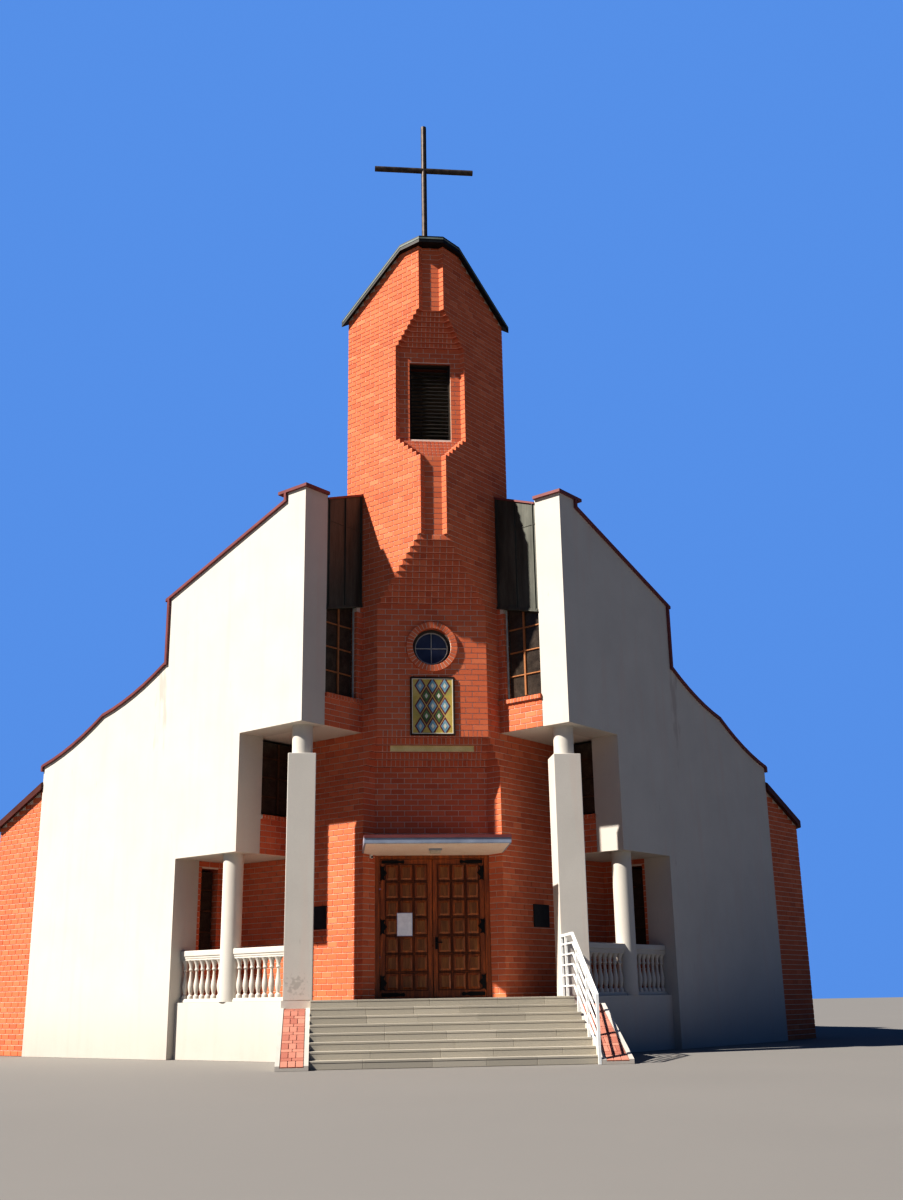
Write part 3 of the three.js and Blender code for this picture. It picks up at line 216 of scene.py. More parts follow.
def connected(verts):
    """Every vertex that hangs together with these."""
    found = set()
    queue = [vert for vert in verts if vert.is_valid]
    while queue:
        vert = queue.pop()
        if vert not in found:
            found.add(vert)
            queue += [edge.other_vert(vert) for edge in vert.link_edges]
    return list(found)


def only_verts(geom):
    return [item for item in geom if isinstance(item, bmesh.types.BMVert)]


def round_edges(bm, edges, width, segments=2):
    bmesh.ops.bevel(bm, geom=edges, offset=width, offset_type="OFFSET", segments=segments,
                    profile=0.5, affect="EDGES", material=-1, clamp_overlap=True)


def block(bm, low, high, place=Matrix(), bevel=0.0, segments=2, index=0):
    """A box between two corners, with rounded edges where bevel is given."""
    low, high = Vector(low), Vector(high)
    spread = Matrix.Translation((low + high) / 2) @ Matrix.Diagonal((*(high - low), 1))
    made = bmesh.ops.create_cube(bm, size=1, matrix=place @ spread)
    paint(faces_of(made["verts"]), index)
    if bevel:
        round_edges(bm, edges_of(made["verts"]), bevel, segments)
    return made["verts"]


def prism(bm, points, low, high, place=Matrix(), bevel=0.0, segments=2, index=0):
    """A flat outline in x and y, raised from low to high along z."""
    verts = [bm.verts.new((x, y, low)) for x, y in points]
    face = bm.faces.new(verts)
    raised = bmesh.ops.extrude_face_region(bm, geom=[face])
    top = only_verts(raised["geom"])
    bmesh.ops.translate(bm, verts=top, vec=(0, 0, high - low))
    both = verts + top
    bmesh.ops.transform(bm, matrix=place, verts=both)
    paint(faces_of(both), index)
    bmesh.ops.recalc_face_normals(bm, faces=faces_of(both))
    if bevel:
        round_edges(bm, edges_of(both), bevel, segments)


def turned(bm, profile, centre, steps=24, index=0):
    """A round shape about an upright axis, from radius and height pairs."""
    verts = [bm.verts.new((r, 0, z)) for r, z in profile]
    edges = [bm.edges.new(pair) for pair in zip(verts, verts[1:])]
    spun = bmesh.ops.spin(bm, geom=verts + edges, cent=(0, 0, 0), axis=(0, 0, 1),
                          angle=2 * math.pi, steps=steps, use_merge=True)
    every = connected(verts + only_verts(spun["geom_last"]))
    bmesh.ops.remove_doubles(bm, verts=every, dist=1e-5)
    every = [v for v in every if v.is_valid]
    bmesh.ops.recalc_face_normals(bm, faces=faces_of(every))
    paint(faces_of(every), index)
    for face in faces_of(every):
        face.smooth = True
    bmesh.ops.translate(bm, verts=every, vec=centre)


def rim(bm, x0, x1, z0, z1, y0, y1, width, place=Matrix(), bevel=0.004, index=0):
    """A rectangular frame: a block whose front and back are inset and bridged."""
    verts = block(bm, (x0, y0, z0), (x1, y1, z1), index=index)
    ends = [f for f in faces_of(verts) if abs(f.normal.y) > 0.9]
    outer = edges_of(verts)
    bmesh.ops.inset_individual(bm, faces=ends, thickness=width)
    loops = [edge for face in ends for edge in face.edges]
    inner = [v for face in ends for v in face.verts]
    bmesh.ops.delete(bm, geom=ends, context="FACES_ONLY")
    bridged = bmesh.ops.bridge_loops(bm, edges=loops)
    paint(bridged["faces"], index)
    every = verts + inner
    bmesh.ops.recalc_face_normals(bm, faces=faces_of(every))
    if bevel:
        round_edges(bm, outer + loops, bevel, 1)
    bmesh.ops.transform(bm, matrix=place, verts=connected(every))


def mesh_from(name, bm):
    mesh = bpy.data.meshes.new(name)
    bm.to_mesh(mesh)
    bm.free()
    return mesh


def piece(name, bm, materials, body="root", replaces=(), sharp=20.0):
    """Turns a bmesh into a finished piece that rides on a body."""
    return settle(name, mesh_from(name, bm), materials, body, replaces, sharp)


def settle(name, mesh, materials, body="root", replaces=(), sharp=20.0):
    """Places a mesh in the scene. Edges that turn by more degrees than sharp stay sharp."""
    for material in materials:
        mesh.materials.append(MATERIALS[material])
    if sharp:
        mesh.set_sharp_from_angle(angle=math.radians(sharp))
    thing = bpy.data.objects.new(name, mesh)
    bpy.context.scene.collection.objects.link(thing)
    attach(thing, body)
    if replaces:
        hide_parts(*replaces)
    return thing


def tint(bm, tones, tone):
    """Gives every face made since the last call one shade."""
    tones += [tone] * (len(bm.faces) - len(tones))


def toned_piece(name, bm, tones, material):
    """A piece of many units, each with a shade of its own."""
    mesh = mesh_from(name, bm)
    mesh.attributes.new("tone", "FLOAT", "FACE").data.foreach_set("value", tones)
    settle(name, mesh, [material], sharp=0)


def both_sides(name, build, materials, replaces=()):
    """Builds a right-hand piece and its mirror image on the left."""
    for side, sign in SIDES:
        bm = bmesh.new()
        build(bm)
        if sign < 0:
            bmesh.ops.scale(bm, vec=(-1, 1, 1), verts=bm.verts)
            bmesh.ops.reverse_faces(bm, faces=bm.faces)
        nodes = [f"{side}_{node}" for node in replaces]
        piece(f"{side}_{name}", bm, materials, replaces=nodes)


# Material helpers

def add_node(tree, kind, settings=None, inputs=None, stops=None):
    """Adds one node with its settings, its values or links, and the stops of a colour ramp. A link
    comes from a socket, or from the first output of a node."""
    node = tree.nodes.new("ShaderNode" + kind)
    for key, value in (settings or {}).items():
        setattr(node, key, value)
    for key, value in (inputs or {}).items():
        if isinstance(value, bpy.types.Node):
            value = value.outputs[0]
        if isinstance(value, bpy.types.NodeSocket):
            tree.links.new(value, node.inputs[key])
        else:
            node.inputs[key].default_value = value
    if stops:
        ramp = node.color_ramp
        for element, (position, colour) in zip(ramp.elements, (stops[0], stops[-1])):
            element.position, element.color = position, (*colour, 1)
        for position, colour in stops[1:-1]:
            ramp.elements.new(position).color = (*colour, 1)
    return node


def finish(name, colours, patch, grain, relief, roughness, metallic=0.0, stretch=(1, 1, 1),
           speckle=0.25, tone=False, streak=None, dirt=None, coat=0.0, level=None, spots=()):
    """A procedural finish. patch and grain are the sizes of its blotches and its grain, and relief
    is the depth of the grain, all in millimetres. tone takes each unit's own shade. level is the
    colour of the faces that lie level. streak is a stain with its width and strength, dirt one with
    its foot, top and strength, and spots are flaky patches, each with its colour, centre, reach
    along x, y and z, size of flake and strength."""
    colours = [linear(colour) if isinstance(colour, str) else colour for colour in colours]
    material = bpy.data.materials.new(name)
    material.use_nodes = True
    tree = material.node_tree
    tree.nodes.clear()
    where = add_node(tree, "TexCoord")
    place = where.outputs["Object"]
    stretched = add_node(tree, "Mapping", inputs={"Vector": place, "Scale": stretch})
    patches = add_node(tree, "TexNoise", inputs={
        "Vector": stretched, "Scale": 1000 / patch, "Detail": 4, "Roughness": 0.6})
    grains = add_node(tree, "TexNoise", inputs={
        "Vector": stretched, "Scale": 1000 / grain, "Detail": 3, "Roughness": 0.65})
    drive = patches.outputs["Fac"]
    if tone:
        drive = add_node(tree, "Attribute", {"attribute_name": "tone"}).outputs["Fac"]
    low, high = (0.0, 1.0) if tone else (0.3, 0.7)
    step = (high - low) / max(1, len(colours) - 1)
    colour = add_node(tree, "ValToRGB", inputs={"Fac": drive},
                      stops=[(low + i * step, c) for i, c in enumerate(colours)])
    if level:
        face = add_node(tree, "SeparateXYZ", inputs={0: where.outputs["Normal"]})
        slope = add_node(tree, "Math", {"operation": "ABSOLUTE"}, {0: face.outputs["Z"]})
        flat = add_node(tree, "Math", {"operation": "GREATER_THAN"}, {0: slope, 1: 0.7})
        bedded = add_node(tree, "Mix", {"data_type": "RGBA"}, {0: flat, 6: colour, 7: (*level, 1)})
        colour = bedded.outputs[2]
    shades = add_node(tree, "ValToRGB", inputs={"Fac": grains},
                      stops=[(0.35, (0.35, 0.35, 0.35)), (0.6, (1, 1, 1))])
    mixed = add_node(tree, "Mix", {"data_type": "RGBA", "blend_type": "MULTIPLY"},
                     {0: speckle, 6: colour, 7: shades})
    colour = mixed.outputs[2]
    layers = []  # masks, each with the colour that it lays over what is there
    if streak:
        stain, width, amount = streak
        tall = add_node(tree, "Mapping", inputs={"Vector": place, "Scale": (1, 1, 0.09)})
        marks = add_node(tree, "TexNoise", inputs={
            "Vector": tall, "Scale": 1000 / width, "Detail": 5, "Roughness": 0.62})
        mask = add_node(tree, "MapRange", inputs={
            "Value": marks, "From Min": 0.5, "From Max": 0.78, "To Max": amount})
        layers.append((mask, stain))
    if dirt:
        soil, foot, top, amount = dirt
        parts = add_node(tree, "SeparateXYZ", inputs={0: place})
        fall = add_node(tree, "MapRange", {"interpolation_type": "SMOOTHSTEP"}, {
            "Value": parts.outputs["Z"], "From Min": top, "From Max": foot, "To Max": amount})
        mask = add_node(tree, "Math", {"operation": "MULTIPLY"}, {0: fall, 1: patches})
        layers.append((mask, soil))
    for flake, centre, reach, size, amount in spots:
        from_centre = add_node(tree, "VectorMath", {"operation": "SUBTRACT"}, {0: place, 1: centre})
        scaled = add_node(tree, "VectorMath", {"operation": "DIVIDE"}, {0: from_centre, 1: reach})
        away = add_node(tree, "VectorMath", {"operation": "LENGTH"}, {0: scaled})
        near = add_node(tree, "MapRange", inputs={
            "Value": away.outputs["Value"], "From Min": 1.0, "From Max": 0.0, "To Max": 0.4})
        drawn = add_node(tree, "VectorMath", {"operation": "MULTIPLY"},
                         {0: place, 1: (1, 1, reach[0] / reach[2])})
        flakes = add_node(tree, "TexNoise", inputs={"Vector": drawn, "Scale": 1000 / size, "Detail": 4})
        both = add_node(tree, "Math", {"operation": "ADD"}, {0: near, 1: flakes})
        mask = add_node(tree, "MapRange", inputs={
            "Value": both, "From Min": 0.72, "From Max": 0.86, "To Max": amount})
        layers.append((mask, flake))
    for mask, over in layers:
        laid = add_node(tree, "Mix", {"data_type": "RGBA"}, {0: mask, 6: colour, 7: (*over, 1)})
        colour = laid.outputs[2]
    bump = add_node(tree, "Bump", inputs={"Strength": 0.8, "Distance": relief / 1000, "Height": grains})
    gloss = add_node(tree, "MapRange", inputs={
        "Value": patches, "To Min": max(0.03, roughness - 0.08), "To Max": min(1.0, roughness + 0.08)})
    shader = add_node(tree, "BsdfPrincipled", inputs={
        "Base Color": colour, "Roughness": gloss, "Metallic": metallic, "Coat Weight": coat,
        "Normal": bump})
    add_node(tree, "OutputMaterial", inputs={"Surface": shader})
    MATERIALS[name] = material


def shade(colour, factor):
    return [min(1.0, c * factor) for c in colour]


# Brickwork

def wall_planes(nodes, keep):
    """The upright planes of some nodes, each as its normal, its distance and its triangles."""
    planes = {}
    for node in nodes:
        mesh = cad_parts[node].data
        mesh.calc_loop_triangles()
        points = np.array([v.co for v in mesh.vertices])
        corners = points[np.array([t.vertices for t in mesh.loop_triangles])]
        normals = np.cross(corners[:, 1] - corners[:, 0], corners[:, 2] - corners[:, 0])
        lengths = np.linalg.norm(normals, axis=1)
        for corner, normal, size in zip(corners, normals, lengths):
            if size < 1e-8:
                continue
            n = normal / size
            if abs(n[2]) > 0.02 or not keep(corner.mean(0), n):
                continue
            n = np.round(n, 2)
            n /= np.linalg.norm(n)
            distance = float(corner[0] @ n)
            key = (round(n[0], 2), round(n[1], 2), round(distance * 500))
            planes.setdefault(key, []).append((n, distance, corner))
    return planes


def spans_at(flat, z):
    """Where triangles in (u, z) cross a level, as joined intervals of u."""
    found = []
    for triangle in flat:
        cuts = []
        for a, b in ((0, 1), (1, 2), (2, 0)):
            (ua, za), (ub, zb) = triangle[a], triangle[b]
            if (za - z) * (zb - z) < 0:
                cuts.append(ua + (ub - ua) * (z - za) / (zb - za))
        if len(cuts) == 2:
            found.append((min(cuts), max(cuts)))
    joined = []
    for low, high in sorted(found):
        if joined and low <= joined[-1][1] + 0.002:
            joined[-1][1] = max(joined[-1][1], high)
        else:
            joined.append([low, high])
    return joined


def common(first, second):
    both = [(max(a, c), min(b, d)) for a, b in first for c, d in second]
    return [(a, b) for a, b in both if b - a > SHORTEST * 0.6]


def courses_between(foot, top, front):
    """Foot, top, pitch and shift of each course that a plane shows between two heights."""
    settings = bpy.context.scene.church_brickwork
    gap = settings.joint / 2
    if top - foot < LEDGE:
        low, high = foot + 0.002, top - 0.002
        return [(low, high, END_PITCH, 0.0)] if high - low >= THINNEST else []
    found = []
    course = 0
    for low, high, count in COURSES:
        pitch = settings.length
        for band_low, band_high, band_pitch in END_BANDS:
            if front and low >= band_low - SAMPLE and high <= band_high + SAMPLE:
                pitch = band_pitch
        for i in range(count):
            course += 1
            z0 = max(low + (high - low) * i / count + gap, foot + SAMPLE)
            z1 = min(low + (high - low) * (i + 1) / count - gap, top - SAMPLE)
            if z1 - z0 >= THINNEST:
                found.append((z0, z1, pitch, 0.0 if course % 2 or pitch < 0.2 else pitch / 2))
    return found


def lay_bricks(planes, skip=None):
    """The bricks that cover upright planes in running bond, course by course. Each is its normal,
    its plane's distance, its two ends, its foot and top, and how far it reaches into the wall."""
    settings = bpy.context.scene.church_brickwork
    gap = settings.joint / 2
    bricks = []
    for key in sorted(planes):
        n, distance, _ = planes[key][0]
        if skip and skip(n, distance):
            continue
        along = np.array((-n[1], n[0], 0))
        flat = [np.stack((c @ along, c[:, 2]), axis=1) for _, _, c in planes[key]]
        foot = min(t[:, 1].min() for t in flat)
        top = max(t[:, 1].max() for t in flat)
        for z0, z1, pitch, shift in courses_between(foot, top, n[1] < -0.99):
            # a ledge's bricks also cover the step's edges and reach in under it
            ledge = top - foot < LEDGE
            size = (z0 - 0.004, z1 + 0.008, -0.05) if ledge else (z0, z1, -0.004)
            for a, b in common(spans_at(flat, z0 + SAMPLE), spans_at(flat, z1 - SAMPLE)):
                first = math.ceil((a + SHORTEST - shift) / pitch)
                last = math.floor((b - SHORTEST - shift) / pitch)
                cuts = [shift + k * pitch for k in range(first, last + 1)]
                starts = [a] + [c + gap for c in cuts]
                ends = [c - gap for c in cuts] + [b + settings.proud]
                bricks += [(n, distance, u0, u1, *size) for u0, u1 in zip(starts, ends)]
    return bricks


def brick_mesh(name, bricks, seed):
    """One joined mesh of many bricks, each with a slightly smaller face and a shade of its own."""
    settings = bpy.context.scene.church_brickwork
    unit = bmesh.new()
    bmesh.ops.create_cube(unit, size=1)
    corners = np.array([v.co for v in unit.verts]) + 0.5
    quads = np.array([[v.index for v in face.verts] for face in unit.faces])
    unit.free()
    inset = np.where(corners[:, 1:2] > 0.5, EASE, 0.0) * (1 - 2 * corners)
    normals = np.array([b[0] for b in bricks])
    along = np.stack((-normals[:, 1], normals[:, 0], np.zeros(len(bricks))), axis=1)
    sizes = np.array([b[1:] for b in bricks])
    distance, u0, u1, z0, z1, back = sizes.T
    u = u0[:, None] + (u1 - u0)[:, None] * corners[None, :, 0] + inset[None, :, 0]
    z = z0[:, None] + (z1 - z0)[:, None] * corners[None, :, 2] + inset[None, :, 2]
    out = back[:, None] + (settings.proud - back)[:, None] * corners[None, :, 1]
    points = along[:, None] * u[..., None] + normals[:, None] * (distance[:, None] + out)[..., None]
    points[..., 2] += z
    faces = quads[None] + 8 * np.arange(len(bricks))[:, None, None]
    mesh = bpy.data.meshes.new(name)
    mesh.from_pydata(points.reshape(-1, 3).tolist(), [], faces.reshape(-1, 4).tolist())
    tone = mesh.attributes.new("tone", "FLOAT", "FACE")
    shades = np.random.default_rng(seed).beta(2.2, 2.2, len(bricks))
    tone.data.foreach_set("value", np.repeat(shades, 6).astype(np.float32))
    bm = bmesh.new()
    bm.from_mesh(mesh)
    bmesh.ops.recalc_face_normals(bm, faces=bm.faces)
    bm.to_mesh(mesh)
    bm.free()
    return mesh


def brick_piece(name, planes, seed, skip=None):
    mesh = brick_mesh(name, lay_bricks(planes, skip), seed)
    settle(name, mesh, ["fired_brick"], sharp=0)


def close_ring(planes):
    """Lets the courses of the tower's front run on under the ring, up to its hole."""
    y = PANEL_Y + PLAN_Y
    for (_, side, _), group in planes.items():
        if side > -0.99 or abs(group[0][1] + y) > 0.003:
            continue
        turn = 2 * math.pi / ROUND_STEPS
        inner, outer = 0.41, 0.5  # from beside the hole to just past the ring
        for i in range(ROUND_STEPS):
            a, b = i * turn, (i + 1) * turn
            p, q, r, t = [(size * math.cos(w), y, ROUND_Z + size * math.sin(w))
                          for size, w in ((inner, a), (outer, a), (outer, b), (inner, b))]
            group += [(*group[0][:2], np.array(corner)) for corner in ((p, q, r), (p, r, t))]


def front_facing(_, n):
    return n[1] < -0.3


def tower_outside(centre, n):
    outward = centre[0] * n[0] + (centre[1] - TOWER_Y - PLAN_Y) * n[1]
    oblique = abs(abs(n[0]) - DIAGONAL) < 0.05
    return outward > 0 and (oblique or n[1] < -0.99)


def rear_facing(_, n):
    return n[1] > 0.9


class CHURCH_OT_brickwork(bpy.types.Operator):
    """Cover every brick wall with real bricks, true to scale"""
    bl_idname = "church.brickwork"
    bl_label = "Brickwork"

    def execute(self, context):
        tower = ["tower_front_panel", "tower_front_corner", "tower_back_walls",
                 "right_tower_front_wall", "left_tower_front_wall"]
        entrance = ["wall_over_door", "right_entrance_wall", "left_entrance_wall"]
        planes = wall_planes(tower, tower_outside)
        for key, group in wall_planes(entrance, front_facing).items():
            planes.setdefault(key, []).extend(group)
        close_ring(planes)
        ring_face = -(PANEL_Y - 0.05 + PLAN_Y)
        brick_piece("tower_bricks", planes, 1,
                    skip=lambda n, distance: n[1] < -0.99 and abs(distance - ring_face) < 0.005)
        for side, sign in SIDES:
            bays = wall_planes([f"{side}_upper_bay", f"{side}_middle_bay"], front_facing)
            brick_piece(f"{side}_bay_bricks", bays, 2)
            outer = wall_planes([f"{side}_brick_corner"], lambda _, n: n[0] * sign > 0.3)
            brick_piece(f"{side}_corner_bricks", outer, 3)
        brick_piece("rear_bricks", wall_planes(["rear_wall"], rear_facing), 4)
        return {"FINISHED"}


class CHURCH_OT_window_ring(bpy.types.Operator):
    """Set a ring of radial bricks round the tower's window"""
    bl_idname = "church.window_ring"
    bl_label = "Window ring"

    def execute(self, context):
        depth, half_joint = 0.056, 0.006
        half_in = math.pi * RING_INNER / RING_BRICKS - half_joint
        half_out = math.pi * RING_OUTER / RING_BRICKS - half_joint
        outline = [(-half_in, RING_INNER), (half_in, RING_INNER), (half_out, RING_OUTER),
                   (-half_out, RING_OUTER)]
        bm = bmesh.new()
        tones = []
        rng = np.random.default_rng(7)
        for i in range(RING_BRICKS):
            place = Matrix.Translation((0, PANEL_Y + PLAN_Y - depth, ROUND_Z))
            place = place @ Matrix.Rotation(2 * math.pi * i / RING_BRICKS, 4, "Y")
            place = place @ UPRIGHT.inverted() @ Matrix.Scale(-1, 4, (0, 1, 0))
            prism(bm, outline, 0, depth, place, bevel=0.003, segments=1)
            tint(bm, tones, float(rng.beta(2.2, 2.2)))
        bmesh.ops.recalc_face_normals(bm, faces=bm.faces)
        toned_piece("window_ring_bricks", bm, tones, "fired_brick")
        return {"FINISHED"}


# Glazing

def glaze(bm, place, x0, x1, z0, z1, columns, rows):
    """Outer frame, bars and pane of a window, in materials 0, 1 and 2."""
    settings = bpy.context.scene.church_glazing
    width = settings.frame_width
    rim(bm, x0, x1, z0, z1, 0.0, WINDOW_INSET, width, place)
    half = settings.post_width / 2
    for i in range(1, columns):
        x = x0 + (x1 - x0) * i / columns
        block(bm, (x - half, 0.006, z0 + width), (x + half, 0.06, z1 - width), place, 0.004, 1, 1)
    half = settings.bar_width / 2
    for i in range(1, rows):
        z = z0 + (z1 - z0) * i / rows
        block(bm, (x0 + width, 0.012, z - half), (x1 - width, 0.055, z + half), place, 0.004, 1, 1)
    width -= 0.01  # the pane reaches this far into its frame
    block(bm, (x0 + width, 0.035, z0 + width), (x1 - width, 0.045, z1 - width), place, index=2)


class CHURCH_OT_glazing(bpy.types.Operator):
    """Make the windows with their frames, bars and panes"""
    bl_idname = "church.glazing"
    bl_label = "Windows"

    def execute(self, context):
        surfaces = ["dark_window_paint", "ochre_window_paint", "glass_with_painted_reflection"]
        # the middle, ground and rear windows' bars take brown for ochre, as a painted shade
        plain = ["dark_window_paint", "brown_paint_and_painted_shade", "glass_with_painted_reflection"]
        near, far = WHITE_WALL + SEAM, BAY_WIDTH - SEAM
        windows = [
            ("upper_window", WINDOW_INSET, near, UPPER_JAMB - SEAM, UPPER_SILL, UPPER_HEAD, 2, 4),
            ("middle_window", MID_SETBACK + WINDOW_INSET, near, far, MID_SILL, TOP_SOFFIT, 2, 4),
            ("ground_window", GROUND_SETBACK + WINDOW_INSET, 0.65, 1.08, 1.9, 3.5, 1, 4),
        ]
        for name, along, d0, d1, low, high, columns, rows in windows:
            place = facing(bay(along, 0), (-1, -1, 0))

            def build(bm):
                glaze(bm, place, -d1, -d0, low + SEAM, high - SEAM, columns, rows)
                if name == "upper_window":  # a pale cover strip on the jamb beside the tower
                    block(bm, (-d1, -0.012, low + SEAM), (-d1 + 0.04, 0.02, high - SEAM),
                          place, 0.004, 1, 3)

            used = surfaces + ["pale_window_paint"] if name == "upper_window" else plain
            both_sides(name + "_glazing", build, used, replaces=[name])
        back = facing((0, REAR_Y - 0.13 + PLAN_Y, 0), (0, 1, 0))
        half = 0.9 - SEAM
        for name, low, high in (("rear_upper_window", 6.47, 8.35), ("rear_lower_window", 2.1, 3.98)):
            bm = bmesh.new()
            glaze(bm, back, -half, half, low + SEAM, high - SEAM, 4, 4)
            piece(name + "_glazing", bm, plain, replaces=[name])
        self.round_window()
        bm = bmesh.new()
        y = TOWER_Y - 0.76 + PLAN_Y  # the back of the belfry's recess
        rim(bm, -0.4185, 0.4185, 11.7215, 13.4185, y - 0.035, y - 0.002, 0.022)
        # brown for ochre, as a painted shade in the recess
        piece("belfry_frame", bm, ["brown_paint_and_painted_shade"])
        return {"FINISHED"}

    def round_window(self):
        """The round window: a turned ring, a thin cross and a pane."""
        bm = bmesh.new()
        upright = Matrix.Translation((0, PANEL_Y + 0.17 + PLAN_Y, ROUND_Z)) @ UPRIGHT
        ring = [(0.318, 0), (0.368, 0), (0.368, 0.075), (0.318, 0.05), (0.318, 0)]
        bead = [(0.3, 0.004), (0.319, 0.004), (0.319, 0.056), (0.3, 0.056), (0.3, 0.004)]
        turned(bm, ring, (0, 0, 0), ROUND_STEPS, 0)
        turned(bm, bead, (0, 0, 0), ROUND_STEPS, 1)
        for x, z in ((0.009, 0.302), (0.302, 0.009)):
            block(bm, (-x, -z, 0.015), (x, z, 0.045), index=1)
        bmesh.ops.transform(bm, matrix=upright, verts=bm.verts)
        pane = bmesh.ops.create_cone(
            bm, cap_ends=True, segments=ROUND_STEPS, radius1=0.304, radius2=0.304, depth=0.008,
            matrix=upright @ Matrix.Translation((0, 0, 0.022)))
        paint(faces_of(pane["verts"]), 2)
        surfaces = ["dark_window_paint", "pale_window_paint", "blue_glass_and_painted_sky"]
        piece("round_window_glazing", bm, surfaces, replaces=["round_window"])


# Balustrades and columns

# Radius and height of a baluster, from its foot up to its cap
BALUSTER = [
    (0, 0), (0.052, 0), (0.054, 0.01), (0.054, 0.055), (0.05, 0.066), (0.034, 0.08), (0.03, 0.095),
    (0.036, 0.12), (0.047, 0.165), (0.054, 0.22), (0.053, 0.265), (0.045, 0.32), (0.034, 0.38),
    (0.027, 0.45), (0.026, 0.5), (0.034, 0.508), (0.043, 0.522), (0.044, 0.536), (0.036, 0.552),
    (0.035, 0.58), (0.04, 0.612), (0.05, 0.645), (0.064, 0.675), (0.08, 0.7), (0.08, 0.705), (0, 0.705),
]
# Half width, foot, top and edge of a balustrade's courses: kerb, its top, two bands and the rail
RAILS = [
    (0.075, FLOOR + SEAM, 1.04, 0.006),
    (0.062, 1.035, 1.065, 0.008),
    (0.06, 1.75, 1.79, 0.006),
    (0.07, 1.785, 1.83, 0.01),
    (0.085, 1.825, 1.93, 0.014),
]


class CHURCH_OT_balustrades(bpy.types.Operator):
    """Make the balustrades with their turned balusters, pillars and round columns"""
    bl_idname = "church.balustrades"
    bl_label = "Balustrades"

    def execute(self, context):
        pitch = 0.168  # of the balusters

        def rails(bm):
            place = facing(bay(0, RAIL_DEPTH), (1, -1, 0))
            # start and end of each run, and its first and last baluster
            runs = ((0.5, COLUMN_AT, 0.78, 1.795), (COLUMN_AT, 3.3797, 2.325, 3.305))
            for start, end, first, last in runs:
                for half, low, high, bevel in RAILS:
                    block(bm, (start, -half, low), (end, half, high), place, bevel)
                count = round((last - first) / pitch)
                for i in range(count + 1):
                    at = first + (last - first) * i / count
                    turned(bm, BALUSTER, bay(at, RAIL_DEPTH) + Vector((0, 0, 1.055)), 20)

        def columns(bm):
            foot = FLOOR + SEAM
            block(bm, (2.185, 2.22 + PLAN_Y, foot), (2.695, 2.84 + PLAN_Y, 5.3), bevel=0.012)
            places = ((Vector((2.44, 2.53 + PLAN_Y, 0)), 5.29, TOP_SOFFIT),
                      (bay(COLUMN_AT, RAIL_DEPTH), foot, MID_SOFFIT))
            for middle, low, soffit in places:
                high = soffit - SEAM
                shaft = [(0, low), (COLUMN_RADIUS, low), (COLUMN_RADIUS, high), (0, high)]
                turned(bm, shaft, middle, ROUND_STEPS)

        both_sides("rails_and_balusters", rails, ["lime_stucco"], replaces=["balustrade"])
        both_sides("pillar_and_column", columns, ["lime_stucco"])
        return {"FINISHED"}


# Steps and cheeks

class CHURCH_OT_steps(bpy.types.Operator):
    """Lay the granite blocks of the steps and the brick paving on their cheeks"""
    bl_idname = "church.steps"
    bl_label = "Steps and cheeks"

    def execute(self, context):
        bm = bmesh.new()
        rng = np.random.default_rng(11)
        tones = []
        gap = 0.0025  # half a joint
        for step in range(STEP_COUNT):
            front = STEP_FRONT - (STEP_COUNT - 1 - step) * STEP_TREAD + PLAN_Y
            back = front + STEP_TREAD
            low, high = step * STEP_RISE, (step + 1) * STEP_RISE
            edge = -STEP_HALF
            while edge < STEP_HALF - 0.02:
                end = edge + float(rng.uniform(0.75, 1.25))
                if end > 1.8:
                    end = STEP_HALF
                tone = float(rng.uniform(0, 1))
                # the riser, and a tread slab whose nose stands out a little over it
                for z0, z1, out in ((low, high - 0.033, 0.004), (high - 0.032, high + 0.002, 0.008)):
                    block(bm, (edge + gap, front - out, z0), (end - gap, back, z1),
                          bevel=0.004, segments=1)
                tint(bm, tones, tone)
                edge = end
        toned_piece("step_blocks", bm, tones, "grey_granite")
        for side, sign in SIDES:
            self.paving(side, sign)
        return {"FINISHED"}

    def paving(self, side, sign):
        """Bricks laid flat on a cheek, in threes with a cross course between them."""
        bm = bmesh.new()
        tones = []
        rng = np.random.default_rng(13)
        foot = Vector((0, -0.62 + PLAN_Y, 0.04))
        head = Vector((0, 1.28 + PLAN_Y, 0.85))
        slope = (head - foot).normalized()
        tilt = math.atan2(slope.z, slope.y)
        runs = [(foot, tilt, (head - foot).length - 0.004), (head, 0.0, 0.93)]  # slope, then landing
        low_x, high_x = 2.2935, 2.6465  # the paved width, inside the cheek's rims
        gap = 0.004  # half a joint
        for start, angle, length in runs:
            place = Matrix.Translation(start) @ Matrix.Rotation(angle, 4, "X")
            at, row = gap, 0
            while at < length - 0.03:
                deep, count = (0.1, 2) if row % 2 else (0.2, 3)
                deep = min(deep, length - at - 0.002)
                width = (high_x - low_x) / count
                for i in range(count):
                    x0, x1 = low_x + i * width + gap, low_x + (i + 1) * width - gap
                    x0, x1 = sorted((sign * x0, sign * x1))
                    block(bm, (x0, at, -0.01), (x1, at + deep - 2 * gap, 0.02), place, 0.004, 1)
                    tint(bm, tones, float(rng.uniform(0.3, 1)))
                at += deep
                row += 1
        toned_piece(f"{side}_cheek_paving", bm, tones, "paving_brick")


# Door, canopy and lamp

